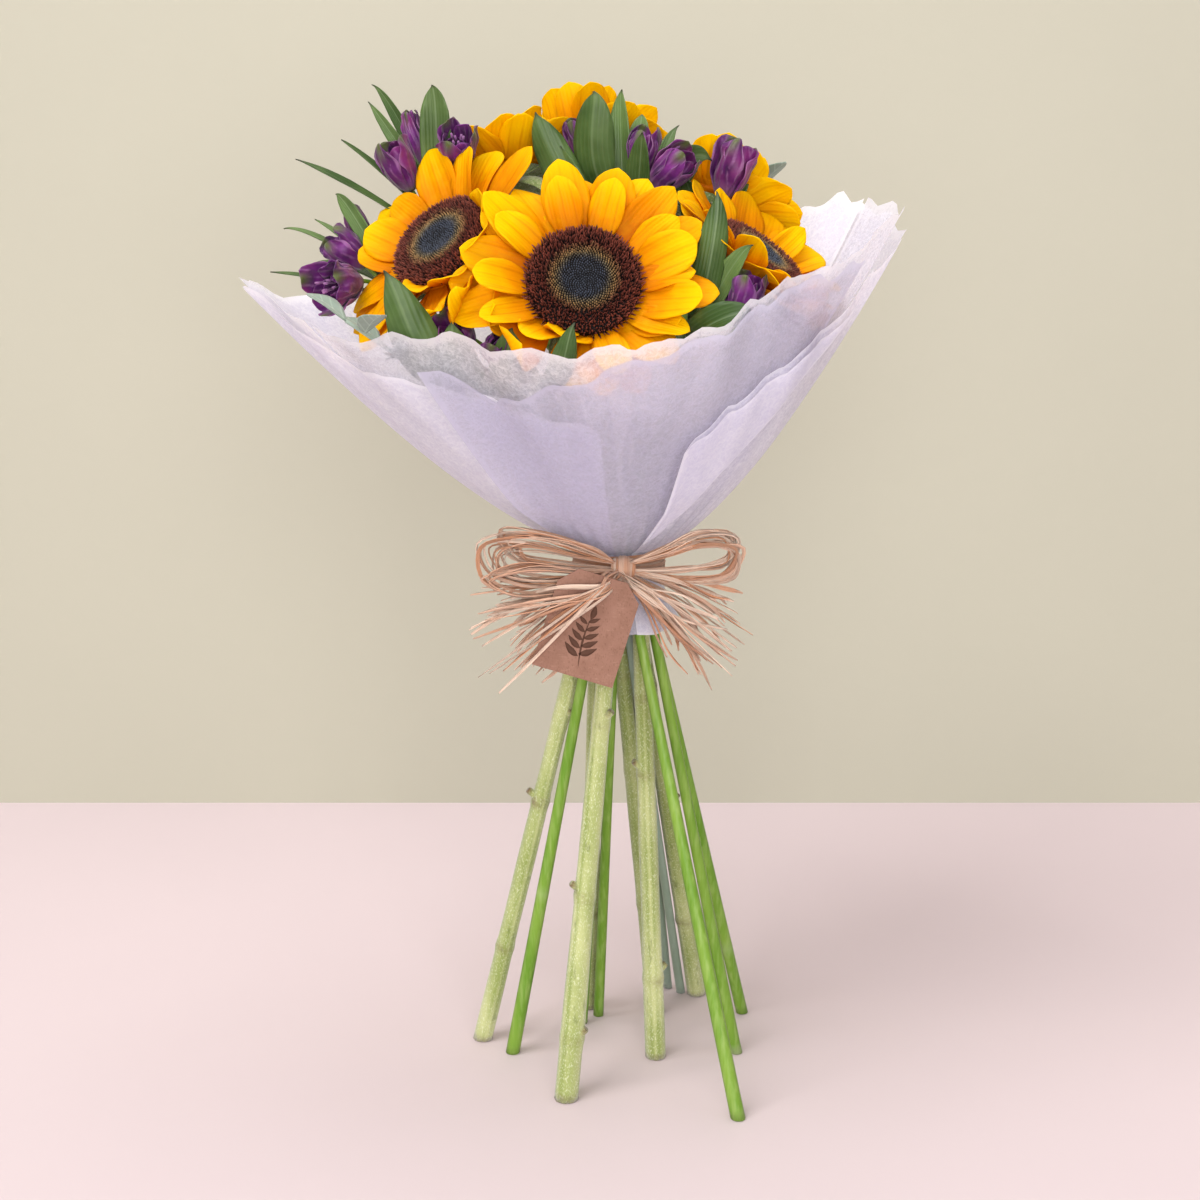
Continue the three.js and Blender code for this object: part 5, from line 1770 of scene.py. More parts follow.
@dataclass
class Disc:
    """The dark disc of florets, the same in all the heads but for its size."""

    profile: tuple[Pair, ...] = (
        (0.0, 4.6), (0.22, 5.4), (0.42, 6.0), (0.58, 5.2), (0.7, 4.2), (0.87, 4.2),
        (0.96, 2.6), (1.0, 0.6))
    inner_count: int = 640
    outer_count: int = 1650
    fringe_count: int = 130

    def __post_init__(self) -> None:
        """Models a bud and a bristle."""
        self.bud = Bench.turned(((0.46, -0.7), (0.5, 0.3), (0.36, 0.8), (0.06, 1.0)), 5)
        self.bristle = Bench.turned(((0.4, -0.2), (0.5, 0.45), (0.34, 0.8), (0.05, 1.0)), 4)

    def height(self, share: Array) -> Array:
        """The dome's height at shares of its radius."""
        places, heights = zip(*self.profile)
        return np.interp(share, places, heights)

    def add_florets(self, growth: Growth, flower: Sunflower, shape: Shape, count: int,
                    low: float, high: float, rng: np.random.Generator) -> None:
        """Sets florets in the spirals of a sunflower, between two shares of the radius.

        Args:
            growth, flower: the disc and its head.
            shape, count: the floret, and how many.
            low, high: shares of the radius.
            rng: the draws.
        """
        index = np.arange(count)
        share = np.sqrt(low ** 2 + (high ** 2 - low ** 2) * (index + 0.5) / count)
        angle = (index + 300 * (low > 0) + 7 * flower.seed) * GOLDEN_ANGLE
        for s, a in zip(share, angle):
            self.add_floret(growth, flower, shape, float(s), float(a), low, rng)

    def add_floret(self, growth: Growth, flower: Sunflower, shape: Shape, s: float, a: float,
                   low: float, rng: np.random.Generator) -> None:
        """Adds one floret: a bud, a bristle, or one of the fringe that leans over the rays.

        Args:
            growth, flower: the disc and its head.
            shape: the floret.
            s, a: its share of the radius and its angle.
            low: the ring's inner share, which says what kind it is.
            rng: the draws.
        """
        slope = float(self.height(s + 0.03) - self.height(s - 0.03)) / (0.06 * flower.disc)
        if low > 0.9:
            lean, aside = rng.uniform(0.75, 1.25), rng.normal(0, 0.3)
            tall, wide = rng.uniform(2.8, 4.4), rng.uniform(0.7, 1.05)
        elif low > 0:
            lean, aside = 0.1 + 0.7 * max(0, s - 0.62) + rng.normal(0, 0.18), rng.normal(0, 0.22)
            tall, wide = rng.uniform(2.8, 4.8), rng.uniform(0.7, 1.1)
        else:
            lean, aside = -slope * 0.5 + rng.normal(0, 0.04), rng.normal(0, 0.03)
            tall, wide = 1.1 + 2.4 * s, 0.96 + 0.12 * (s > 0.4)
        radial, around = spokes(a)
        axis = unit(radial * math.sin(lean) + around * math.sin(aside) + UP * math.cos(lean))
        side = unit(np.cross(axis, around))
        other = np.cross(axis, side)
        base = radial * (s * flower.disc) + UP * float(self.height(s))
        p = shape.points
        points = base + side * (p[:, :1] * wide) + other * (p[:, 1:2] * wide) \
            + axis * (p[:, 2:] * tall)
        growth.add(flower.head(points), shape, share=s, tip=np.clip(p[:, 2], 0, 1),
                   tone=rng.uniform(0, 1))

    def build(self, flower: Sunflower, finish: Material) -> None:
        """Makes one disc.

        Args:
            flower: whose disc it is.
            finish: the florets'.
        """
        growth = Growth()
        rings = [(0.93, 0.0), (1.0, 1.2)] + [(s, h) for s, h in reversed(self.profile[1:-1])]
        dome = Bench.turned([(r, z) for r, z in rings] + [(0.04, 4.6)], 40)
        share = np.linalg.norm(dome.points[:, :2], axis=1)
        growth.add(flower.head(dome.points * vec(flower.disc, flower.disc, 1)), dome, share=share,
                   tip=0.0, tone=0.0)
        rng = np.random.default_rng(flower.seed)
        self.add_florets(growth, flower, self.bud, self.inner_count, 0.0, 0.6, rng)
        self.add_florets(growth, flower, self.bristle, self.outer_count, 0.585, 0.985, rng)
        self.add_florets(growth, flower, self.bristle, self.fringe_count, 0.95, 1.02, rng)
        growth.build(f"{flower.name}_florets", finish, "sunflower_disc", f"{flower.name}_disc")


@dataclass
class SunflowerStems:
    """The stems with their swollen joints and cut side shoots, the cups and the bracts."""

    room: Room
    wrap: Wrap
    tie_radius: float = 4.5
    calyx_top: float = -5.7
    calyx_depth: float = 13.0
    bract_length: float = 25.0
    bract_width: float = 12.0
    bract_lifts: Sequence[float] = (-0.05, -0.35, -0.65, -0.95)
    bracts: int = 13

    def __post_init__(self) -> None:
        """Models a tube, a stub and a bract."""
        self.tube = Bench.turned([(1, i / 90) for i in range(91)], 20)
        self.stub = Bench.turned(((1.0, 0), (0.95, 0.5), (0.9, 0.9), (0.75, 1.0)), 10)
        self.bract = Bench.blade(((0, 0.75), (0.3, 1), (0.5, 0.9), (0.7, 0.55), (0.85, 0.22),
                                  (1, 0.03)), 12, 6)
        self.coarse = Bench.blade(((0, 0.75), (0.5, 0.9), (1, 0.03)), 4, 2)

    def route(self, flower: Sunflower) -> Route:
        """From the cut to the tie, then up and in behind the head.

        Args:
            flower: whose stem it is.

        Returns:
            The stem's middle line.
        """
        waist = on_ring(OUTER_RING, flower.slot, MEET_Z)
        above = on_ring(OUTER_RING, flower.slot, SPREAD_Z)
        neck = vec(*flower.centre) + flower.axis * (self.calyx_top - self.calyx_depth + 2)
        lower = Bezier([vec(*flower.foot, 0), waist]).at(np.linspace(0, 1, 60))
        bends = (above + UP * 34, neck - flower.axis * 38)
        upper = Bezier([above, *bends, neck]).at(np.linspace(0, 1, 40))
        return Route(np.vstack([lower, upper]))

    def add_stem(self, growth: Growth, flower: Sunflower) -> None:
        """Adds the stem itself.

        Args:
            growth: the green piece.
            flower: whose it is.
        """
        route = self.route(flower)
        x, y, share = self.tube.points.T
        angle = np.arctan2(y, x)
        z = route.at(share)[:, 2]
        low = np.clip(z / MEET_Z, 0, 1)
        radius = flower.foot_radius + (self.tie_radius - flower.foot_radius) * low
        radius = np.where(z > MEET_Z, self.tie_radius, radius)
        rng = np.random.default_rng(flower.seed + 3)
        phase = rng.uniform(0, 6.28, 3)
        ribs = np.cos(7 * angle + phase[0]) * 0.5 + np.cos(11 * angle + phase[1]) * 0.5
        free = np.where(z < MEET_Z - 12, 1.0, 0.25)
        scale = 1 + free * (0.03 * ribs + 0.025 * np.sin(z / 17 + phase[2]))
        scar = np.zeros_like(z)
        for joint in flower.joints:
            off = z - joint
            near = np.exp(-(off / 2.6) ** 2)
            side = next((math.radians(a) for h, a in flower.stubs if h == joint), phase[0])
            lean = 0.5 + 0.5 * np.cos(angle - side)
            scale += 0.1 * near + 0.07 * lean * np.exp(-np.maximum(off, -off * 4) / 9) * (off < 14)
            scar = np.maximum(scar, np.exp(-(off / 1.4) ** 2) * (0.35 + 0.6 * lean))
        scar = np.maximum(scar, np.exp(-(z / 3.0) ** 2) * 0.7)
        points = lay_tube(self.tube, route, radius * scale, 4e-3)
        points[:, 2] = np.maximum(points[:, 2], 0)
        growth.add(points, self.tube, rib=ribs, scar=np.clip(scar, 0, 1), tone=0.0)
        self.add_stubs(growth, flower)

    def add_stubs(self, growth: Growth, flower: Sunflower) -> None:
        """The cut side shoots at the joints.

        Args:
            growth: the green piece.
            flower: whose it is.
        """
        for height, degrees in flower.stubs:
            foot, waist = vec(*flower.foot, 0), on_ring(OUTER_RING, flower.slot, MEET_Z)
            root = foot + (waist - foot) * (height / MEET_Z)
            away = unit(spokes(math.radians(degrees))[0] + UP * 0.9)
            radius = flower.foot_radius + (self.tie_radius - flower.foot_radius) * height / MEET_Z
            side = unit(np.cross(away, UP))
            other = np.cross(away, side)
            p = self.stub.points
            reach = radius + 5.0
            points = root + away * (0.25 + 0.75 * p[:, 2:]) * reach + side * p[:, :1] * 2.7 \
                + other * p[:, 1:2] * 2.3
            scar = np.clip(p[:, 2] * 2.2 - 1.2, 0, 1)
            growth.add(points, self.stub, rib=0.2, scar=scar, tone=0.0)

    def add_cup(self, growth: Growth, flower: Sunflower) -> None:
        """The green cup and its bracts.

        Args:
            growth: the green piece.
            flower: whose it is.
        """
        r, depth, base = flower.disc, self.calyx_depth, self.calyx_top - self.calyx_depth
        cup = Bench.turned(((4.4, base), (6.0, base + 1.5), (0.3 * r, base + 2.4),
                            (0.55 * r, base + 0.46 * depth), (0.8 * r, base + 0.8 * depth),
                            (0.9 * r, self.calyx_top)), 28)
        growth.add(flower.head(cup.points), cup, rib=0.0, scar=0.0, tone=0.8)
        draw = Draw(flower.seed + 5)
        owner = f"{flower.name}_stem"
        faces = self.coarse.faces()
        for i in range(self.bracts):
            angle = 2 * math.pi * (i + draw(-0.25, 0.25)) / self.bracts
            length = self.bract_length * draw(0.8, 1.15)
            radial, around = spokes(angle)
            root = 0.72 * r
            level = self.calyx_top - (0.2 + 0.2 * (i % 2)) * depth
            start = radial * (root - 4) + UP * (level + 0.5)
            middle = radial * (root + 0.45 * length) + UP * (level - 2.5)
            spines = []
            for lift in self.bract_lifts:
                out, high = length * math.cos(lift), length * math.sin(lift)
                tip = radial * (root + out) + UP * (level + high + 2)
                spines.append(Bezier([flower.head(p) for p in (start, middle, tip)]))
            around = flower.turn @ around
            coarse = self.coarse.points * vec(1, self.bract_width / 2, 0.6)
            ways = [self.wrap.keep_inside(lay(coarse, s, around)) for s in spines]
            best = self.room.clearest(owner, ways, faces)
            x, y, z = self.bract.points.T
            flat = np.stack([x, y * self.bract_width / 2, z * 0.6 - 1.4 * np.abs(y) ** 1.5], axis=1)
            points = self.wrap.keep_inside(lay(flat, spines[best], around, draw(-0.3, 0.3)))
            growth.add(points, self.bract, rib=np.cos(y * 9), scar=0.0, tone=0.75)

    def build(self, flower: Sunflower, finish: Material) -> None:
        """Makes one stem with its cup.

        Args:
            flower: whose it is.
            finish: the green.
        """
        growth = Growth()
        self.add_stem(growth, flower)
        self.add_cup(growth, flower)
        growth.build(f"{flower.name}_green", finish, "sunflower_stem", f"{flower.name}_stem")


# ---- alstroemeria

@dataclass
class Bloom:
    """One bloom: its base and tip, how far open it is, and its girth."""

    name: str
    base: Triple
    tip: Triple
    open: float
    girth: float


@dataclass
class Plant:
    """One alstroemeria: where it stands, its way up, its blooms and its leaves."""

    name: str
    foot: Pair
    ring: float
    slot: float
    foot_radius: float
    route: Sequence[Triple]
    crown: Triple
    blooms: Sequence[Bloom]
    leaves: Sequence[tuple[Triple, float, float]]


PLANTS = (
    Plant("alstroemeria_1", (-1, 65), 4.06, 104, 3.2, ((4, 4, 362), (-14, 7, 400)), (-90, 8, 486), (
        Bloom("bloom_1", (-99, 2, 499), (-111, -7, 523), 0.35, 8.5),
        Bloom("bloom_2", (-93, 12, 512), (-101, 11, 541), 0.1, 5.5),
        Bloom("bloom_3", (-73, 4, 511), (-74, -17, 527), 0.6, 8),
    ), (
        ((-84, -6, 553), 15, 3), ((-99, 18, 554), 8, 2), ((-107, 16, 551), 7, 2),
        ((-119, 8, 542), 7, 3), ((-130, 3, 526), 7, 4), ((-148, -6, 512), 6, 5),
        ((-112, 34, 520), 9, 6), ((-69, 24, 521), 11, 6))),
    Plant("alstroemeria_2", (-11, 55), 4.7, 195, 3.2, ((-10, 3, 362), (-30, 0, 392)),
          (-112, -12, 450), (
        Bloom("bloom_4", (-124, -26, 452), (-141, -48, 449), 0.9, 9),
        Bloom("bloom_5", (-123, -12, 460), (-141, -16, 474), 0.4, 8),
        Bloom("bloom_6", (-122, 6, 468), (-133, 8, 490), 0.1, 5),
    ), (
        ((-137, -4, 500), 8, 4), ((-150, 4, 484), 7, 4), ((-163, -10, 477), 8, 4),
        ((-163, -24, 457), 6, 4), ((-152, 20, 466), 9, 6))),
    Plant("alstroemeria_3", (-52, 16), OUTER_RING, 223.5, 4.1, (), (-50, -57, 408), (
        Bloom("bloom_7", (-66, -70, 418), (-73, -86, 434), 0.45, 8),
        Bloom("bloom_8", (-50, -74, 414), (-48, -94, 428), 0.3, 7),
    ), (
        ((-98, -88, 455), 19, 3), ((-81, -104, 424), 10, 5), ((-31, -112, 421), 9, 5),
        ((-15, -121, 436), 10, 8), ((-104, -62, 420), 9, 5))),
    Plant("alstroemeria_4", (89, 69), OUTER_RING, 25.5, 3.7, ((21.5, 3.5, 350),), (12, 12, 494), (
        Bloom("bloom_9", (20, 3, 504), (25, 2, 530), 0.3, 7.5),
        Bloom("bloom_10", (27, -1, 500), (47, -14, 517), 0.45, 8.5),
        Bloom("bloom_11", (-2, 22, 507), (-15, 22, 538), 0.3, 7),
    ), (
        ((0, -7, 552), 19, 2), ((10, 12, 549), 11, 3), ((23, 20, 541), 12, 3),
        ((-34, 6, 536), 14, 4), ((56, 8, 519), 12, 8), ((44, 30, 528), 9, 5),
        ((22, -26, 528), 13, 7), ((-22, 2, 520), 13, 7), ((14, 38, 534), 12, 4))),
    Plant("alstroemeria_5", (81, 16), OUTER_RING, 0.7, 3.6, (), (56, 16, 476), (
        Bloom("bloom_12", (65, 9, 494), (75, 6, 524), 0.3, 9),
        Bloom("bloom_13", (32, 40, 486), (27, 54, 512), 0.4, 8),
    ), (
        ((52, 40, 522), 10, 5), ((88, 22, 500), 9, 6), ((48, 4, 507), 11, 5),
        ((96, 4, 508), 9, 5))),
    Plant("alstroemeria_6", (76, -61), OUTER_RING, 292.5, 4.1, (), (46, -52, 424), (
        Bloom("bloom_14", (46, -62, 452), (48, -63, 476), 0.1, 6),
        Bloom("bloom_15", (68, -62, 432), (74, -68, 457), 0.4, 8.5),
    ), (
        ((59, -74, 494), 15, 3), ((73, -96, 441), 13, 6), ((78, -80, 468), 10, 4),
        ((36, -92, 432), 9, 5))),
)

# Leaves that show in front, by their tip in the plant's list: low point, middle, tip, the way
# across and the width.
SHOWN_LEAVES = {
    (-98, -88, 455): ((-82, -86, 388), (-89, -91, 420), (-99, -88, 456), (1, 0.1, -0.1), 25.0),
    (-15, -121, 436): ((-19, -112, 395), (-17, -121, 412), (-15, -124, 435), (1, 0, 0), 13.0),
    (-81, -104, 424): ((-64, -84, 388), (-68, -91, 408), (-73, -95, 434), (1, 0.2, -0.2), 20.0),
    (-31, -112, 421): ((-44, -84, 385), (-44, -90, 406), (-45, -95, 432), (1, 0.1, 0), 21.0),
    (73, -96, 441): ((40, -98, 425), (50, -104, 438), (74, -107, 441), (-0.3, 0.5, 0.8), 17.0),
    (0, -7, 552): ((-10, 0, 505), (-6, -4, 526), (0, -7, 550), (1, -0.25, 0.1), 23.0),
    (-34, 6, 536): ((-20, 2, 500), (-26, 0, 516), (-34, 2, 536), (0.8, -0.2, 0.6), 20.0),
    (56, 8, 519): ((36, 4, 506), (42, 4, 520), (56, 8, 519), (-0.2, -0.4, 0.9), 17.0),
    (59, -74, 494): ((50, -70, 440), (55, -73, 466), (59, -74, 493), (1, 0.1, -0.1), 16.0),
}

LEAF_TRIES = ((0, 0, 0), (6, 0, 0), (-6, 0, 0), (0, 6, 0), (0, -6, 0), (0, 0, 6), (8, 8, 4),
              (-8, 8, 4), (8, -8, 4), (-8, -8, 4), (14, 0, 6), (-14, 0, 6), (0, 14, 6),
              (0, -14, 6), (0, 0, 16), (0, 0, -10))
MOST_LEAF_HITS = 3


def thin_route(foot: Pair, ring: float, slot: float,
               places: Sequence[Triple]) -> tuple[Bezier, Spline]:
    """A thin stem's way: straight from the cut to the tie, then along the given places.

    Args:
        foot: where it is cut.
        ring, slot: its place in the tie, as radius and degrees.
        places: what it passes above the tie.

    Returns:
        The way up to the tie, and on.
    """
    waist = on_ring(ring, slot, MEET_Z)
    rise = [waist + UP * z for z in (0, SPREAD_Z - MEET_Z, SPREAD_Z - MEET_Z + 14)]
    return (Bezier([vec(*foot, 0), waist]),
            Spline(np.array([*rise, *[vec(*p) for p in places]])))


def stands_on(points: Array, place: Array) -> bool:
    """Whether a place is a corner of a node."""
    return bool(np.min(np.linalg.norm(points - place, axis=1)) < 0.06)


@dataclass
class ThinStem:
    """A smooth thin tube with pale rings at its nodes."""

    sides: int = 12
    rows: int = 70

    def __post_init__(self) -> None:
        """Models the tube."""
        self.tube = Bench.turned([(1, i / self.rows) for i in range(self.rows + 1)], self.sides)

    def add(self, growth: Growth, curves: Sequence[Curve], radii: Sequence[float],
            seed: int) -> None:
        """Adds a tube along curves, with its radius at the start, at each join and at the end.

        Args:
            growth: the green piece.
            curves: its way, part by part.
            radii: at the start, each join and the end.
            seed: shifts the rings.
        """
        parts = [c.at(np.linspace(0, 1, 40)) for c in curves]
        route = Route(np.vstack([parts[0]] + [p[1:] for p in parts[1:]]))
        runs = np.cumsum([0] + [np.linalg.norm(np.diff(p, axis=0), axis=1).sum() for p in parts])
        share = self.tube.points[:, 2]
        radius = np.interp(share, runs / runs[-1], radii)
        ring = np.zeros_like(share)
        if len(curves) > 1:
            above = (route.at(share)[:, 2] + 7 * seed) % (62 + seed % 13)
            ring = np.exp(-(above / 1.6) ** 2)
        points = lay_tube(self.tube, route, radius * (1 + 0.07 * ring), 6e-3)
        growth.add(points, self.tube, across=0.5, along=0.0, stem=1.0, node=0.7 * ring, tone=0.5)


@dataclass
class Foliage:
    """The alstroemerias' stems with their leaves and bloom stalks."""

    room: Room
    wrap: Wrap
    thickness: float = 0.55

    def __post_init__(self) -> None:
        """Models a leaf and the thin tubes."""
        outline = ((0, 0.16), (0.12, 0.5), (0.3, 0.92), (0.45, 1.0), (0.62, 0.88), (0.76, 0.58),
                   (0.86, 0.28), (0.92, 0.11), (1.0, 0.02))
        self.leaf = Bench.blade(outline, 26, 8)
        self.coarse = Bench.blade(outline, 6, 2)
        self.stem = ThinStem()
        self.stalk = ThinStem(7, 14)

    def leaf_line(self, plant: Plant, leaf: tuple, index: int,
                  offset: tuple) -> tuple[Bezier, Array]:
        """The middle line of a leaf, and the way that it is wide.

        Args:
            plant: whose leaf it is.
            leaf: tip, width and bow.
            index: the leaf's number in the plant's list.
            offset: how far its tip is moved, in mm.

        Returns:
            The line and the way.
        """
        tip, _, bow = leaf
        upper = thin_route(plant.foot, plant.ring, plant.slot, (*plant.route, plant.crown))[1]
        base = upper.at(0.99 - 0.014 * index)[0]
        end = vec(*tip) + vec(*offset)
        outward = unit(vec(end[0] - AXIS_X, end[1], 0))
        face = -0.4 * outward + 0.9 * UP
        if end[2] - base[2] > 1.2 * math.hypot(end[0] - base[0], end[1] - base[1]):
            face = vec(0, -1, 0.25)
        middle = (base + end) / 2 + UP * bow
        return Bezier([base, middle, end]), unit(np.cross(face, unit(end - base)))

    def take_shown(self) -> None:
        """Keeps the room of the leaves that show in front."""
        for plant in PLANTS:
            for index, leaf in enumerate(plant.leaves):
                if leaf[0] in SHOWN_LEAVES:
                    spine, across, width = self.shown_line(plant, leaf, index)
                    flat = self.coarse.points * vec(1, width / 2, 0.8)
                    self.room.take(plant.name, lay(flat, spine, across, 0.1), self.coarse.faces())

    def shown_line(self, plant: Plant, leaf: tuple, index: int) -> tuple[Bezier, Array, float]:
        """The middle line, the way across and the width of a leaf that shows in front.

        Args:
            plant, leaf, index: the leaf.

        Returns:
            Line, way and width.
        """
        *places, across, width = SHOWN_LEAVES[leaf[0]]
        base = self.leaf_line(plant, leaf, index, (0, 0, 0))[0].points[0]
        return Bezier([base, *(vec(*place) for place in places)]), unit(vec(*across)), width

    def add_leaf(self, growth: Growth, plant: Plant, index: int, corners: Array) -> None:
        """Adds a leaf where the plant's node has it, or where there is room.

        Args:
            growth: the green piece.
            plant: whose leaf it is.
            index: the leaf's number.
            corners: the points of the plant's node.
        """
        leaf = plant.leaves[index]
        if leaf[0] in SHOWN_LEAVES:
            self.grow_leaf(growth, *self.shown_line(plant, leaf, index), 0.1, index)
            return
        ways = [self.leaf_line(plant, leaf, index, offset) for offset in LEAF_TRIES]
        found = [w for w in ways if stands_on(corners, w[0].points[2])]
        width = leaf[1]
        if not found:
            flat = self.coarse.points * vec(1, width / 2, 0.8)
            laid = [lay(flat, spine, across, 0.4) for spine, across in ways]
            faces = self.coarse.faces()
            best = self.room.clearest(plant.name, laid, faces)
            if self.room.hits(plant.name, laid[best], faces) > MOST_LEAF_HITS:
                LOG.info("%s: no room for leaf %d", plant.name, index)
                return
            found = [ways[best]]
        self.grow_leaf(growth, *found[0], 1.12 * width, 0.4, index)

    def grow_leaf(self, growth: Growth, spine: Bezier, across: Array, width: float, twist: float,
                  index: int) -> None:
        """Adds one folded, gently waved leaf with a thin curled tip.

        Args:
            growth: the green piece.
            spine: its middle line.
            across: roughly the way that it is wide.
            width: in mm.
            twist: in radians.
            index: seeds its own draws.
        """
        draw = Draw(97 + 31 * index + int(10 * width))
        x, y, z = self.leaf.points.T
        fold = 0.2 * width * np.abs(y) ** 1.3 * np.sin(np.clip(x, 0, 1) * math.pi) ** 0.5
        wave = draw(0.3, 0.9) * y * np.sin(7 * x + draw(0, 6))
        flat = np.stack([x, y * width / 2, z * self.thickness + fold + wave], axis=1)
        *lower, tip = spine.points
        hook = unit(tip - lower[-1]) * 0.1 * np.linalg.norm(tip - lower[0])
        curl = vec(draw(-5.5, 5.5), draw(-2, 2), draw(-7, -0.5))
        spine = Bezier([*lower, tip - 0.3 * hook, tip + 0.5 * hook + curl])
        points = self.wrap.keep_inside(lay(flat, spine, across, twist * (1 + draw(-0.6, 1.2))), 1.5)
        growth.add(points, self.leaf, across=y, along=x, stem=0.0, node=0.0, tone=draw(0, 1))

    def build(self, plant: Plant, finish: Material) -> None:
        """Makes one plant's green.

        Args:
            plant: whose green it is.
            finish: the green.
        """
        growth = Growth()
        lower, upper = thin_route(plant.foot, plant.ring, plant.slot, (*plant.route, plant.crown))
        self.stem.add(growth, [lower, upper], [plant.foot_radius, 2.6, 1.9], int(plant.slot))
        crown = vec(*plant.crown)
        for bloom in plant.blooms:
            base = vec(*bloom.base)
            along = unit(vec(*bloom.tip) - base)
            end = base - along * GAP
            bend = end - along * 0.4 * np.linalg.norm(crown - base)
            self.stalk.add(growth, [Bezier([crown - UP * 2, bend, end])], [1.2, 1.1], 3)
        corners = node_points(f"{plant.name}_stem")
        for index in range(len(plant.leaves)):
            self.add_leaf(growth, plant, index, corners)
        growth.build(f"{plant.name}_green", finish, "alstroemeria_green", f"{plant.name}_stem")


class Whorl(Enum):
    """The two whorls of a bloom: outer tepals broad with a green tip, inner ones narrower."""

    OUTER = (0.0, 1.0, 1.0)
    INNER = (0.5, 0.78, 0.9)


@dataclass
class Blooms:
    """The violet blooms, each with ruffled tepals in whorls."""

    thickness: float = 0.45

    def __post_init__(self) -> None:
        """Models a tepal and a stamen."""
        self.tepal = Bench.blade(((0, 0.3), (0.15, 0.5), (0.35, 0.82), (0.55, 1.0), (0.75, 0.98),
                                  (0.88, 0.78), (0.95, 0.5), (1, 0.1)), 20, 12)
        self.stamen = Bench.turned(((0.5, 0), (0.4, 0.5), (0.35, 0.86), (0.9, 0.9), (0.7, 1.0)), 5)

    def variant(self, bloom: Bloom) -> Pair:
        """How far open and how large the bloom stands in its node.

        Args:
            bloom: which one.

        Returns:
            Openness, and size as a share.
        """
        corners = node_points(bloom.name)
        base, axis = vec(*bloom.base), vec(*bloom.tip) - vec(*bloom.base)
        turn = turn_from_up(axis)
        tries = ((0, 1), (-0.2, 1), (-0.2, 0.9), (-0.4, 0.85), (-0.6, 0.75), (-0.6, 0.6))
        for less, size in tries:
            opened = max(0.0, bloom.open + less)
            radius = bloom.girth * size * (0.4 + opened)
            rim = vec(radius, 0, 0.93 * np.linalg.norm(axis) * size)
            if stands_on(corners, base + turn @ rim):
                return opened, size
        return 0.0, 0.5

    def tepal_points(self, whorl: Whorl, girth: float, length: float, opened: float, angle: float,
                     draw: Draw) -> Array:
        """One tepal in the bloom's own frame, cupped and crinkled.

        Args:
            whorl: the ring that it belongs to.
            girth, length: of the bloom, in mm.
            opened: from 0, closed, to 1.
            angle: where it stands round the bloom.
            draw: the bloom's own draws.

        Returns:
            The tepal's points.
        """
        _, wide, tall = whorl.value
        radial, around = spokes(angle)
        inner = 1.0 if whorl is Whorl.OUTER else 0.8
        belly = girth * draw(0.92, 1.12) * inner
        mouth = girth * (0.34 + 1.1 * opened + draw(-0.16, 0.2)) * inner
        top = length * tall * draw(0.92, 1.06)
        swell = 1.15 * belly + 0.35 * opened * girth
        places = [(0.22 * girth, 0), (1.05 * belly, 0.26 * top), (swell, 0.72 * top), (mouth, top)]
        spine = Bezier([radial * r + UP * h for r, h in places])
        x, y, z = self.tepal.points.T
        width = 2.0 * girth * wide * draw(0.9, 1.12)
        body = np.sin(np.clip(x * 1.1, 0, 1) * math.pi) ** 0.6
        cup = 0.2 * width * np.abs(y) ** 2 * body
        ruffle = 0.12 * width * np.abs(y) ** 1.5 * np.sin(12 * x + 3 * y + draw(0, 6)) * x
        crinkle = 0.05 * width * np.sin(6 * y + draw(0, 6)) * np.sin(9 * x + draw(0, 6)) * x
        crease = 0.05 * width * np.exp(-(y * 5) ** 2) * (1 - x)
        high = z * self.thickness + cup + ruffle + crinkle - crease
        flat = np.stack([x, y * width / 2, high], axis=1)
        return lay(flat, spine, around, draw(-0.4, 0.4))

    def build(self, bloom: Bloom, finish: Material) -> None:
        """Makes one bloom.

        Args:
            bloom: which one.
            finish: the violet.
        """
        growth = Growth()
        opened, size = self.variant(bloom)
        base, axis = vec(*bloom.base), vec(*bloom.tip) - vec(*bloom.base)
        length, girth = np.linalg.norm(axis) * size, bloom.girth * size
        turn = turn_from_up(axis)
        draw = Draw(int(7 * bloom.girth + 13 * bloom.tip[2]))
        along, across, _ = self.tepal.points.T

        def add_tepal(whorl: Whorl, place: float, sway: float, *sizes: float) -> None:
            """Adds one tepal at a place in thirds of the round, of a girth, length and opening.

            Args:
                whorl: the ring that it belongs to.
                place, sway: where it stands, and how far off in radians.
                sizes: girth, length and opening.
            """
            angle = 2 * math.pi * place / 3 + draw(-sway, sway)
            points = self.tepal_points(whorl, *sizes, angle, draw)
            growth.add(base + points @ turn.T, self.tepal, across=across, along=along,
                       outer=float(whorl is Whorl.OUTER), tone=draw(0, 1))

        for whorl in Whorl:
            for i in range(3):
                add_tepal(whorl, i + whorl.value[0], 0.15, girth, length, opened)
        for i in range(3 if opened > 0.2 else 0):
            add_tepal(Whorl.INNER, i + 0.25, 0.3, girth * 0.62, length * 0.84, opened * 0.5)
        if opened > 0.5:
            self.add_stamens(growth, base, turn, length, draw)
        growth.build(f"{bloom.name}_tepals", finish, "alstroemeria_bloom", bloom.name)

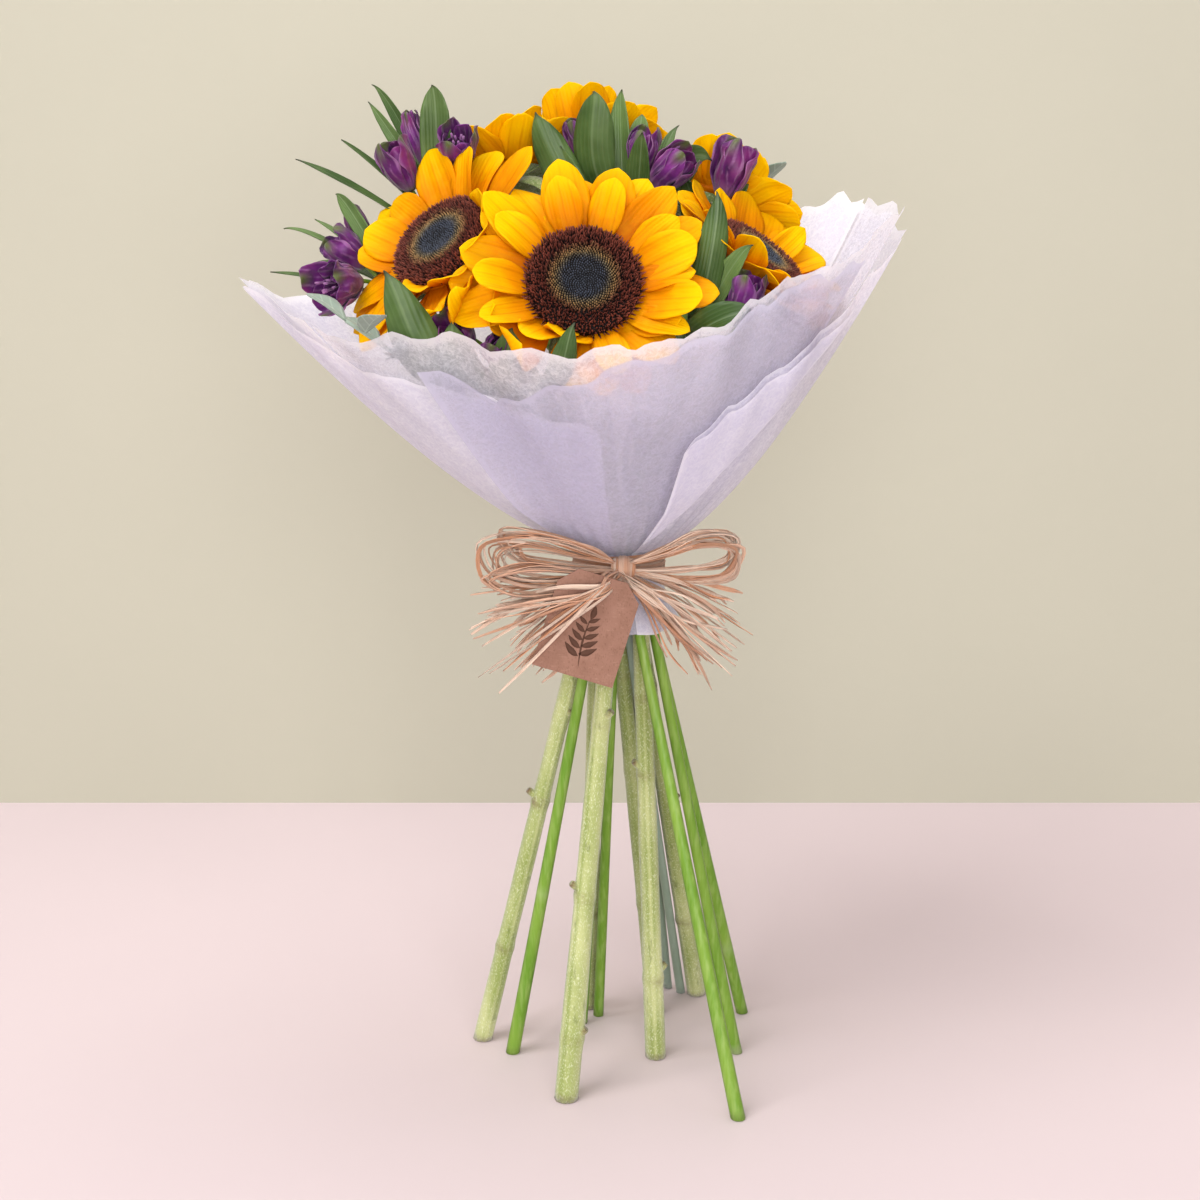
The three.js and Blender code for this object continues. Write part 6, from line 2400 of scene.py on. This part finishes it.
    def add_stamens(self, growth: Growth, base: Array, turn: Array, length: float,
                    draw: Draw) -> None:
        """The thin stamens inside an open bloom.

        Args:
            growth: the bloom's piece.
            base, turn: the bloom's own frame.
            length: of the bloom, in mm.
            draw: the bloom's own draws.
        """
        for i in range(6):
            angle = 2 * math.pi * i / 6 + draw(-0.3, 0.3)
            lean = spokes(angle)[0] * draw(0.15, 0.4)
            p = self.stamen.points
            tall = length * draw(0.75, 0.95)
            local = p * vec(0.9, 0.9, tall) + lean * (p[:, 2:] * tall * 0.5)
            growth.add(base + local @ turn.T, self.stamen, across=1.0, along=0.3, outer=0.0,
                       tone=0.0)


@dataclass
class Sprig:
    """One eucalyptus sprig."""

    name: str
    foot: Pair
    slot: float
    seed: int
    route: Sequence[Triple]
    tip: Triple
    ring: float = 5.2
    leaves: int = 9


SPRIGS = (
    Sprig("eucalyptus_1", (52, 98), 277, 139,
          ((5, -4, 336), (-22, -20, 362), (-60, -44, 387), (-95, -72, 414)), (-121, -96, 435)),
    Sprig("eucalyptus_2", (44, 105), 0, 137,
          ((14, 14, 354), (22, 40, 385), (45, 70, 430), (70, 86, 468)), (92, 96, 502)),
)


@dataclass
class Eucalyptus:
    """The eucalyptus sprigs: a thin twig with grey-green leaves."""

    leaf_length: float = 23.0
    leaf_width: float = 14.0

    def __post_init__(self) -> None:
        """Models the leaf and the twig."""
        self.leaf = Bench.blade(((0, 0.1), (0.1, 0.35), (0.3, 0.85), (0.5, 1.0), (0.7, 0.85),
                                 (0.86, 0.5), (0.95, 0.22), (1, 0.03)), 14, 6)
        self.twig = ThinStem(10, 80)

    def build(self, sprig: Sprig, finish: Material) -> None:
        """Makes one sprig.

        Args:
            sprig: which one.
            finish: its grey green.
        """
        growth = Growth()
        lower, upper = thin_route(sprig.foot, sprig.ring, sprig.slot, (*sprig.route, sprig.tip))
        self.twig.add(growth, [lower, upper], [2.9, 2.1, 0.9], 5)
        corners = node_points(sprig.name)
        draw = Draw(sprig.seed)
        for i in range(sprig.leaves):
            at = 0.66 + 0.34 * i / (sprig.leaves - 1)
            root = upper.at(at)[0]
            along = direction(upper, np.array([at]), 1e-4)[0]
            across = unit(np.cross(along, UP))
            for k in range(8):
                angle = math.pi * i + 0.7 * k + draw(-0.3, 0.3)
                away = across * math.cos(angle) + UP * (abs(math.sin(angle)) + 0.15)
                tip = root + away * self.leaf_length * (1 - 0.04 * k) + along * 8
                if stands_on(corners, tip):
                    self.add_leaf(growth, root, tip)
        growth.build(f"{sprig.name}_leaves", finish, "eucalyptus_leaf", sprig.name)

    def add_leaf(self, growth: Growth, root: Array, tip: Array) -> None:
        """Adds one leaf between two places.

        Args:
            growth: the sprig's piece.
            root, tip: its two ends.
        """
        x, y, z = self.leaf.points.T
        fold = 0.12 * self.leaf_width * np.abs(y) ** 1.5 + 0.3 * np.sin(6 * x) * y
        flat = np.stack([x, y * self.leaf_width / 2, z * 0.6 + fold], axis=1)
        spine = Bezier([root, (root + tip) / 2 + UP * 3, tip])
        wide = unit(np.cross(UP, unit(tip - root)))
        growth.add(lay(flat, spine, wide), self.leaf, across=y, along=x, stem=0.0, node=0.0,
                   tone=0.5)


# ---- the stage

@dataclass
class Stage:
    """The pale table, the wall, the light and the camera."""

    camera_place: Triple = (0.01228, -0.89135, 0.470)
    camera_pitch: float = 78.0
    wall_y: float = 0.48
    half_width: float = 3.0
    surface_z: float = -0.0005

    def set_camera(self) -> None:
        """Sets the camera where the photograph was taken from."""
        data = bpy.data.cameras.new("camera")
        data.lens, data.sensor_width = 50, 36
        camera = bpy.data.objects.new("camera", data)
        camera.location = self.camera_place
        camera.rotation_euler = (math.radians(self.camera_pitch), 0, 0)
        bpy.context.collection.objects.link(camera)
        bpy.context.scene.camera = camera

    def plane(self, name: str, corners: Sequence[Triple],
              finish: Material) -> None:
        """A flat surface of the stage.

        Args:
            name, corners: its name, and its corners in metres.
            finish: its material.
        """
        mesh = bpy.data.meshes.new(name)
        mesh.from_pydata(corners, [], [(0, 1, 2, 3)])
        mesh.materials.append(finish)
        thing = bpy.data.objects.new(name, mesh)
        bpy.context.collection.objects.link(thing)

    def lamp(self, name: str, place: Sequence[float], target: Sequence[float], size: float,
             power: float, colour: Colour) -> None:
        """A soft square lamp that looks at a target.

        Args:
            name: the lamp's.
            place, target: in metres.
            size: the side of the square, in metres.
            power: in watts.
            colour: of its light.
        """
        data = bpy.data.lights.new(name, "AREA")
        data.size, data.energy, data.color = size, power, colour
        thing = bpy.data.objects.new(name, data)
        thing.location = place
        way = Vector(target) - Vector(place)
        thing.rotation_euler = way.to_track_quat("-Z", "Y").to_euler()
        bpy.context.collection.objects.link(thing)

    def one_sided(self, finish: Material) -> Material:
        """Lets the wall be seen through from behind.

        Args:
            finish: the wall's.

        Returns:
            The same material.
        """
        tree = finish.node_tree
        side = tree.nodes.new("ShaderNodeNewGeometry")
        clear = tree.nodes.new("ShaderNodeBsdfTransparent")
        both = tree.nodes.new("ShaderNodeMixShader")
        tree.links.new(side.outputs["Backfacing"], both.inputs[0])
        tree.links.new(tree.nodes["Principled BSDF"].outputs[0], both.inputs[1])
        tree.links.new(clear.outputs[0], both.inputs[2])
        tree.links.new(both.outputs[0], tree.nodes["Material Output"].inputs["Surface"])
        return finish

    def build(self) -> None:
        """Sets the table, the wall and the light."""
        table = PlainFinish("table_pink", shade("d5c4c7"), 0.6, 0.01).make()
        wall = self.one_sided(PlainFinish("wall_green", shade("b4b09f"), 0.9, 0.01).make())
        y, z, w = self.wall_y, self.surface_z, self.half_width
        self.plane("table_top", ((-w, -w, z), (w, -w, z), (w, y, z), (-w, y, z)), table)
        self.plane("wall", ((-w, y, z), (w, y, z), (w, y, w), (-w, y, w)), wall)
        self.lamp("key", (-1.9, -1.8, 4.0), (0, 0, 0.35), 2.4, 144, (1.0, 1.0, 0.98))
        self.lamp("fill", (0.15, -2.6, 0.55), (0, 0, 0.3), 2.0, 74, (0.99, 0.99, 1.0))
        self.lamp("top", (0.1, 0.1, 1.9), (0, 0.1, 0.4), 1.0, 9, (1.0, 1.0, 1.0))
        world = bpy.data.worlds.new("room_light")
        world.use_nodes = True
        back = world.node_tree.nodes["Background"]
        back.inputs[0].default_value = (0.98, 0.98, 1.0, 1)
        back.inputs[1].default_value = 0.5
        scene = bpy.context.scene
        scene.world = world
        scene.view_settings.view_transform = "Standard"
        scene.cycles.transparent_max_bounces = 24


# ---- the bunch

def take_places(room: Room) -> None:
    """Keeps the places of the nodes that the rays and bracts must pass.

    Args:
        room: takes them.
    """
    for flower in SUNFLOWERS:
        room.take_node(f"{flower.name}_stem", f"{flower.name}_stem")
        room.take_node(f"{flower.name}_disc", f"{flower.name}_rays")
    for plant in PLANTS:
        room.take_node(f"{plant.name}_stem", plant.name)
        for bloom in plant.blooms:
            room.take_node(bloom.name, bloom.name)
    for sprig in SPRIGS:
        room.take_node(sprig.name, sprig.name)


def main() -> None:
    """Builds the bunch and its stage in order."""
    logging.basicConfig(level=logging.INFO, format="%(name)s %(message)s")
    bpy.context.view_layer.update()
    stage = Stage()
    stage.set_camera()
    wrap = Wrap()
    wrap.build(WrapFinish().make())
    Raffia(wrap).build(RaffiaFinish().make())
    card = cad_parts["tag"].data.materials
    card.clear()
    card.append(CardFinish().make())
    TagPrint().build(PlainFinish("ink_brown", shade("5a3b2c"), 0.8, 0.1).make())
    room = Room()
    take_places(room)
    foliage = Foliage(room, wrap)
    foliage.take_shown()
    petal, florets, green = PetalFinish().make(), DiscFinish().make(), StemFinish().make()
    rays, disc = Rays(wrap, room), Disc()
    for flower in SUNFLOWERS:
        rays.build_head(flower, petal)
        disc.build(flower, florets)
    stems = SunflowerStems(room, wrap)
    for flower in SUNFLOWERS:
        stems.build(flower, green)
    blooms = Blooms()
    leaf, violet = LeafFinish().make(), BloomFinish().make()
    for plant in PLANTS:
        foliage.build(plant, leaf)
        for bloom in plant.blooms:
            blooms.build(bloom, violet)
    eucalyptus, grey = Eucalyptus(), EucalyptusFinish().make()
    for sprig in SPRIGS:
        eucalyptus.build(sprig, grey)
    stage.build()


if __name__ == "__main__":
    main()
